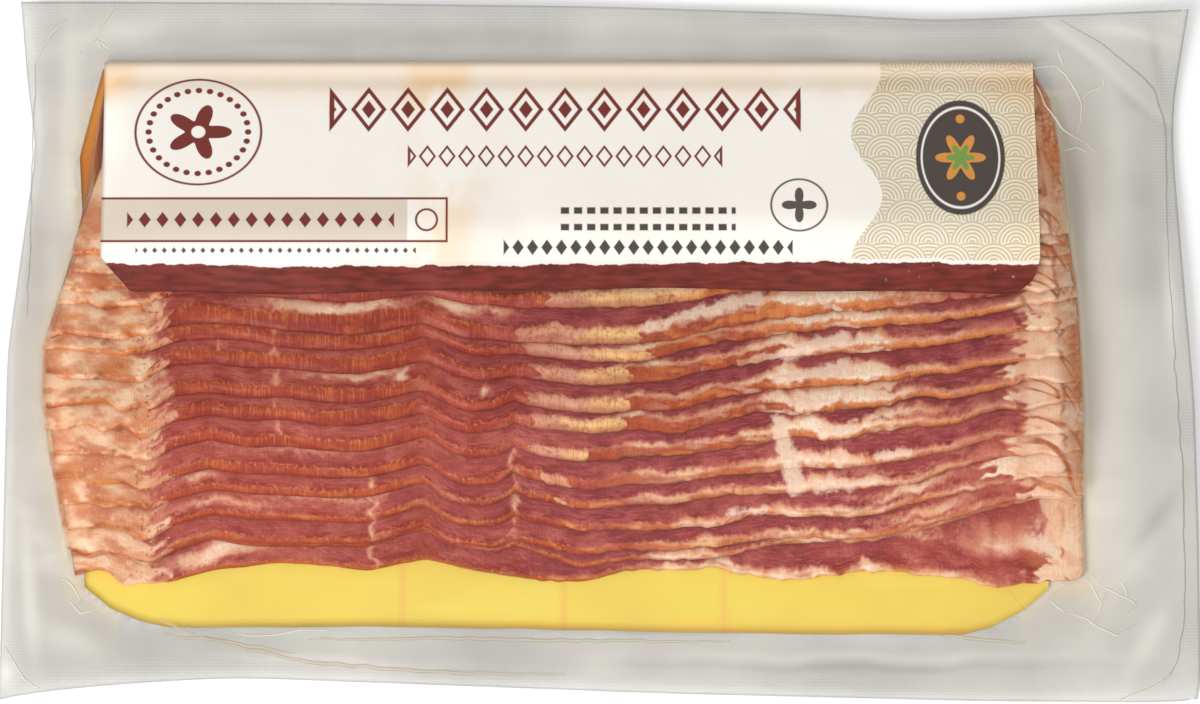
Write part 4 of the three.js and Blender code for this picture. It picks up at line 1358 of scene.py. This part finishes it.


# clear over the food and milky in the margin, where painted reflections and shade run it from grey to white;
# the margin's border has a bump of two crossed sines
def filmMaterial():
    kit = Kit("clear film")
    x, y, _ = kit.axes(kit.inMm())
    body, knurl, grease = kit.axes(kit.vector("filmMap"))
    lightAndShade = kit.fact("filmLightAndShade")
    pitch = 2 * math.pi / film["knurlPitch"]
    hatch = kit.maths("SINE", (x + y * 0.8) * pitch) * kit.maths("SINE", (x - y * 0.8) * pitch)
    # painted reflections and shade: grey where the margin is darker, white where it is lighter
    colour = kit.blend(kit.rise(-1.0, 1.0, lightAndShade), tint(164, 162, 157), tint(238, 235, 226))
    colour = kit.blend(grease, colour, tint(240, 219, 176))
    colour = kit.blend(kit.rise(0.0, 0.8, hatch) * knurl * 0.35, colour, tint(240, 238, 230))
    relief = kit.bump(hatch * knurl, 0.25, 0.0001)
    return kit.finish(Base_Color=colour, Roughness=0.32, IOR=1.45, Alpha=body, Normal=relief)


# painted reflections and shade on the margin: light and dark patches summed as lightness * exp(-r^2), over
# soft clouds
def marginLightAndShade(x, y):
    lightAndShade = 0.3 * cloudNoise(x / 30, y / 18, 52) + 0.15 * cloudNoise(x / 9, y / 9, 53)
    for cx, cy, halfLength, across, turn, lightness in lightAndShadePatches:
        cos, sin = math.cos(math.radians(turn)), math.sin(math.radians(turn))
        u, v = (x - cx) * cos + (y - cy) * sin, (y - cy) * cos - (x - cx) * sin
        bend = 0.8 * latticeNoise(u / 9, v / 9, 54)
        lightAndShade += lightness * np.exp(-((u / halfLength) ** 2) - ((v + bend) / across) ** 2)
    return lightAndShade


# the bag: an upper web over everything, a coarser lower web under the margin and flat on the table below
# the contents, and a stitched rim between them
def makeFilm(material):
    sheet = bagSheet()
    x, y = sheet[..., 0], sheet[..., 1]
    nx, ny = x.shape
    topZ, gone = filmTopZ(x, y)
    u, v = np.linspace(0, 1, nx)[:, None], np.linspace(0, 1, ny)[None, :]
    rim = np.minimum(np.minimum(u, 1 - u) * 2 * halfWidth, np.minimum(v, 1 - v) * 2 * halfDepth)
    lowerZ = marginZ(x, y) * ease(1.0, 12.0, gone) + 0.05
    topZ = np.maximum(topZ, lowerZ + 0.3)
    topZ = lowerZ + (topZ - lowerZ) * ease(-0.3, 2.5, rim)
    step = 2  # the lower web is coarser, and shares the upper one's rim
    inner = (slice(1, -1, step), slice(1, -1, step))
    upper, lower = np.stack([x, y, topZ], -1), np.stack([x, y, lowerZ], -1)[inner]
    points = np.concatenate([upper.reshape(-1, 3), lower.reshape(-1, 3)])
    ni, nj = lower.shape[:2]
    start = nx * ny
    faces = gridQuads(nx, ny)[:, ::-1].tolist() + gridQuads(ni, nj, start).tolist()

    # triangles between one border of the lower web and the rim, which has a point at each half step
    def stitch(coarse, fine, turned):
        made = [[coarse[0], fine[1], fine[0]], [coarse[-1], fine[-1], fine[-2]]]
        for a in range(len(coarse) - 1):
            b = 2 * a + 1
            made += [[coarse[a], fine[b + 1], fine[b]], [coarse[a], coarse[a + 1], fine[b + 1]]]
            made += [[coarse[a + 1], fine[b + 2], fine[b + 1]]]
        return [face[::-1] for face in made] if turned else made

    fineAt = np.arange(nx * ny).reshape(nx, ny)
    coarseAt = start + np.arange(ni * nj).reshape(ni, nj)
    faces += stitch(coarseAt[:, 0].tolist(), fineAt[:, 0].tolist(), False)
    faces += stitch(coarseAt[:, -1].tolist(), fineAt[:, -1].tolist(), True)
    faces += stitch(coarseAt[0].tolist(), fineAt[0].tolist(), True)
    faces += stitch(coarseAt[-1].tolist(), fineAt[-1].tolist(), False)
    allX, allY = points[:, 0], points[:, 1]
    gone, _, cy = outside(allX, allY)
    edgeGap = np.concatenate([rim.ravel(), rim[inner].ravel()])
    fromTop = np.abs(allY) > halfDepth - 14
    knurlBand = ease(6.2, 5.0, edgeGap) * (fromTop | (allX > 120))
    onSide = (cy < 60) & (cy > -60)
    overFood, margin = film["alphaOverFood"], film["alphaMargin"]
    body = overFood + (margin - overFood) * ease(0.3, -1.0, coverDepth(allX, allY))
    grease = 0.7 * np.exp(-gone / 3.2) * onSide
    shares = (body, knurlBand, grease)
    attributes = {"filmMap": np.stack(shares, -1), "filmLightAndShade": marginLightAndShade(allX, allY)}
    piece = meshFrom("film_webs", points, faces, attributes, [material])
    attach(piece, "root")
    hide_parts("film_bag")


# ridges of triangular section along the given lines, narrower towards their ends
def makeRidges(name, lines, width, height, material):
    points, faces = [], []
    for line in lines:
        length = sum(math.dist(a, b) for a, b in zip(line, line[1:]))
        count = max(6, int(length / 0.8))
        path = evenCurve(line, count, 12)
        path += 0.25 * np.stack([latticeNoise(path[:, 0] / 3, path[:, 1] / 3, seed) for seed in (61, 62)], -1)
        heading = np.gradient(path, axis=0)
        side = np.stack([-heading[:, 1], heading[:, 0]], -1) / np.hypot(*heading.T)[:, None]
        s = np.linspace(0, 1, count)
        half = width / 2 * np.sqrt(np.clip(np.sin(math.pi * (0.04 + 0.92 * s)), 0, 1))
        section = []
        for offset, lift in ((1, 0.0), (0, height), (-1, 0.0)):
            place = path + side * (half * offset)[:, None]
            z = filmTopZ(place[:, 0], place[:, 1])[0] + 0.02 + lift * half / width * 2
            section.append(np.column_stack([place, z]))
        start = sum(len(p) for p in points)
        points.append(np.stack(section, 1).reshape(-1, 3))
        faces += gridQuads(count, 3, start, loop=True).tolist()
        last = start + (count - 1) * 3
        faces += [[start, start + 1, start + 2], [last + 2, last + 1, last]]
    piece = meshFrom(name, np.concatenate(points), faces, {}, [material])
    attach(piece, "root")
    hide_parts("film_bag")


# film of one colour and one transparency
def plainFilm(name, colour, alpha):
    return Kit(name).finish(Base_Color=colour, Roughness=0.3, IOR=1.45, Alpha=alpha)


makeFilm(filmMaterial())
glint = plainFilm("fold glint", tint(250, 246, 228), 0.8)
creamFold = plainFilm("cream fold", tint(240, 228, 196), 0.28)
pocketRim = plainFilm("pocket rim", tint(180, 178, 172), 0.35)
makeRidges("film_creases", creases, *film["crease"], glint)
makeRidges("film_soft_lines", softLines, *film["softLine"], creamFold)
makeRidges("film_rim", rimLines, *film["rimLine"], pocketRim)
print("film bag ready")
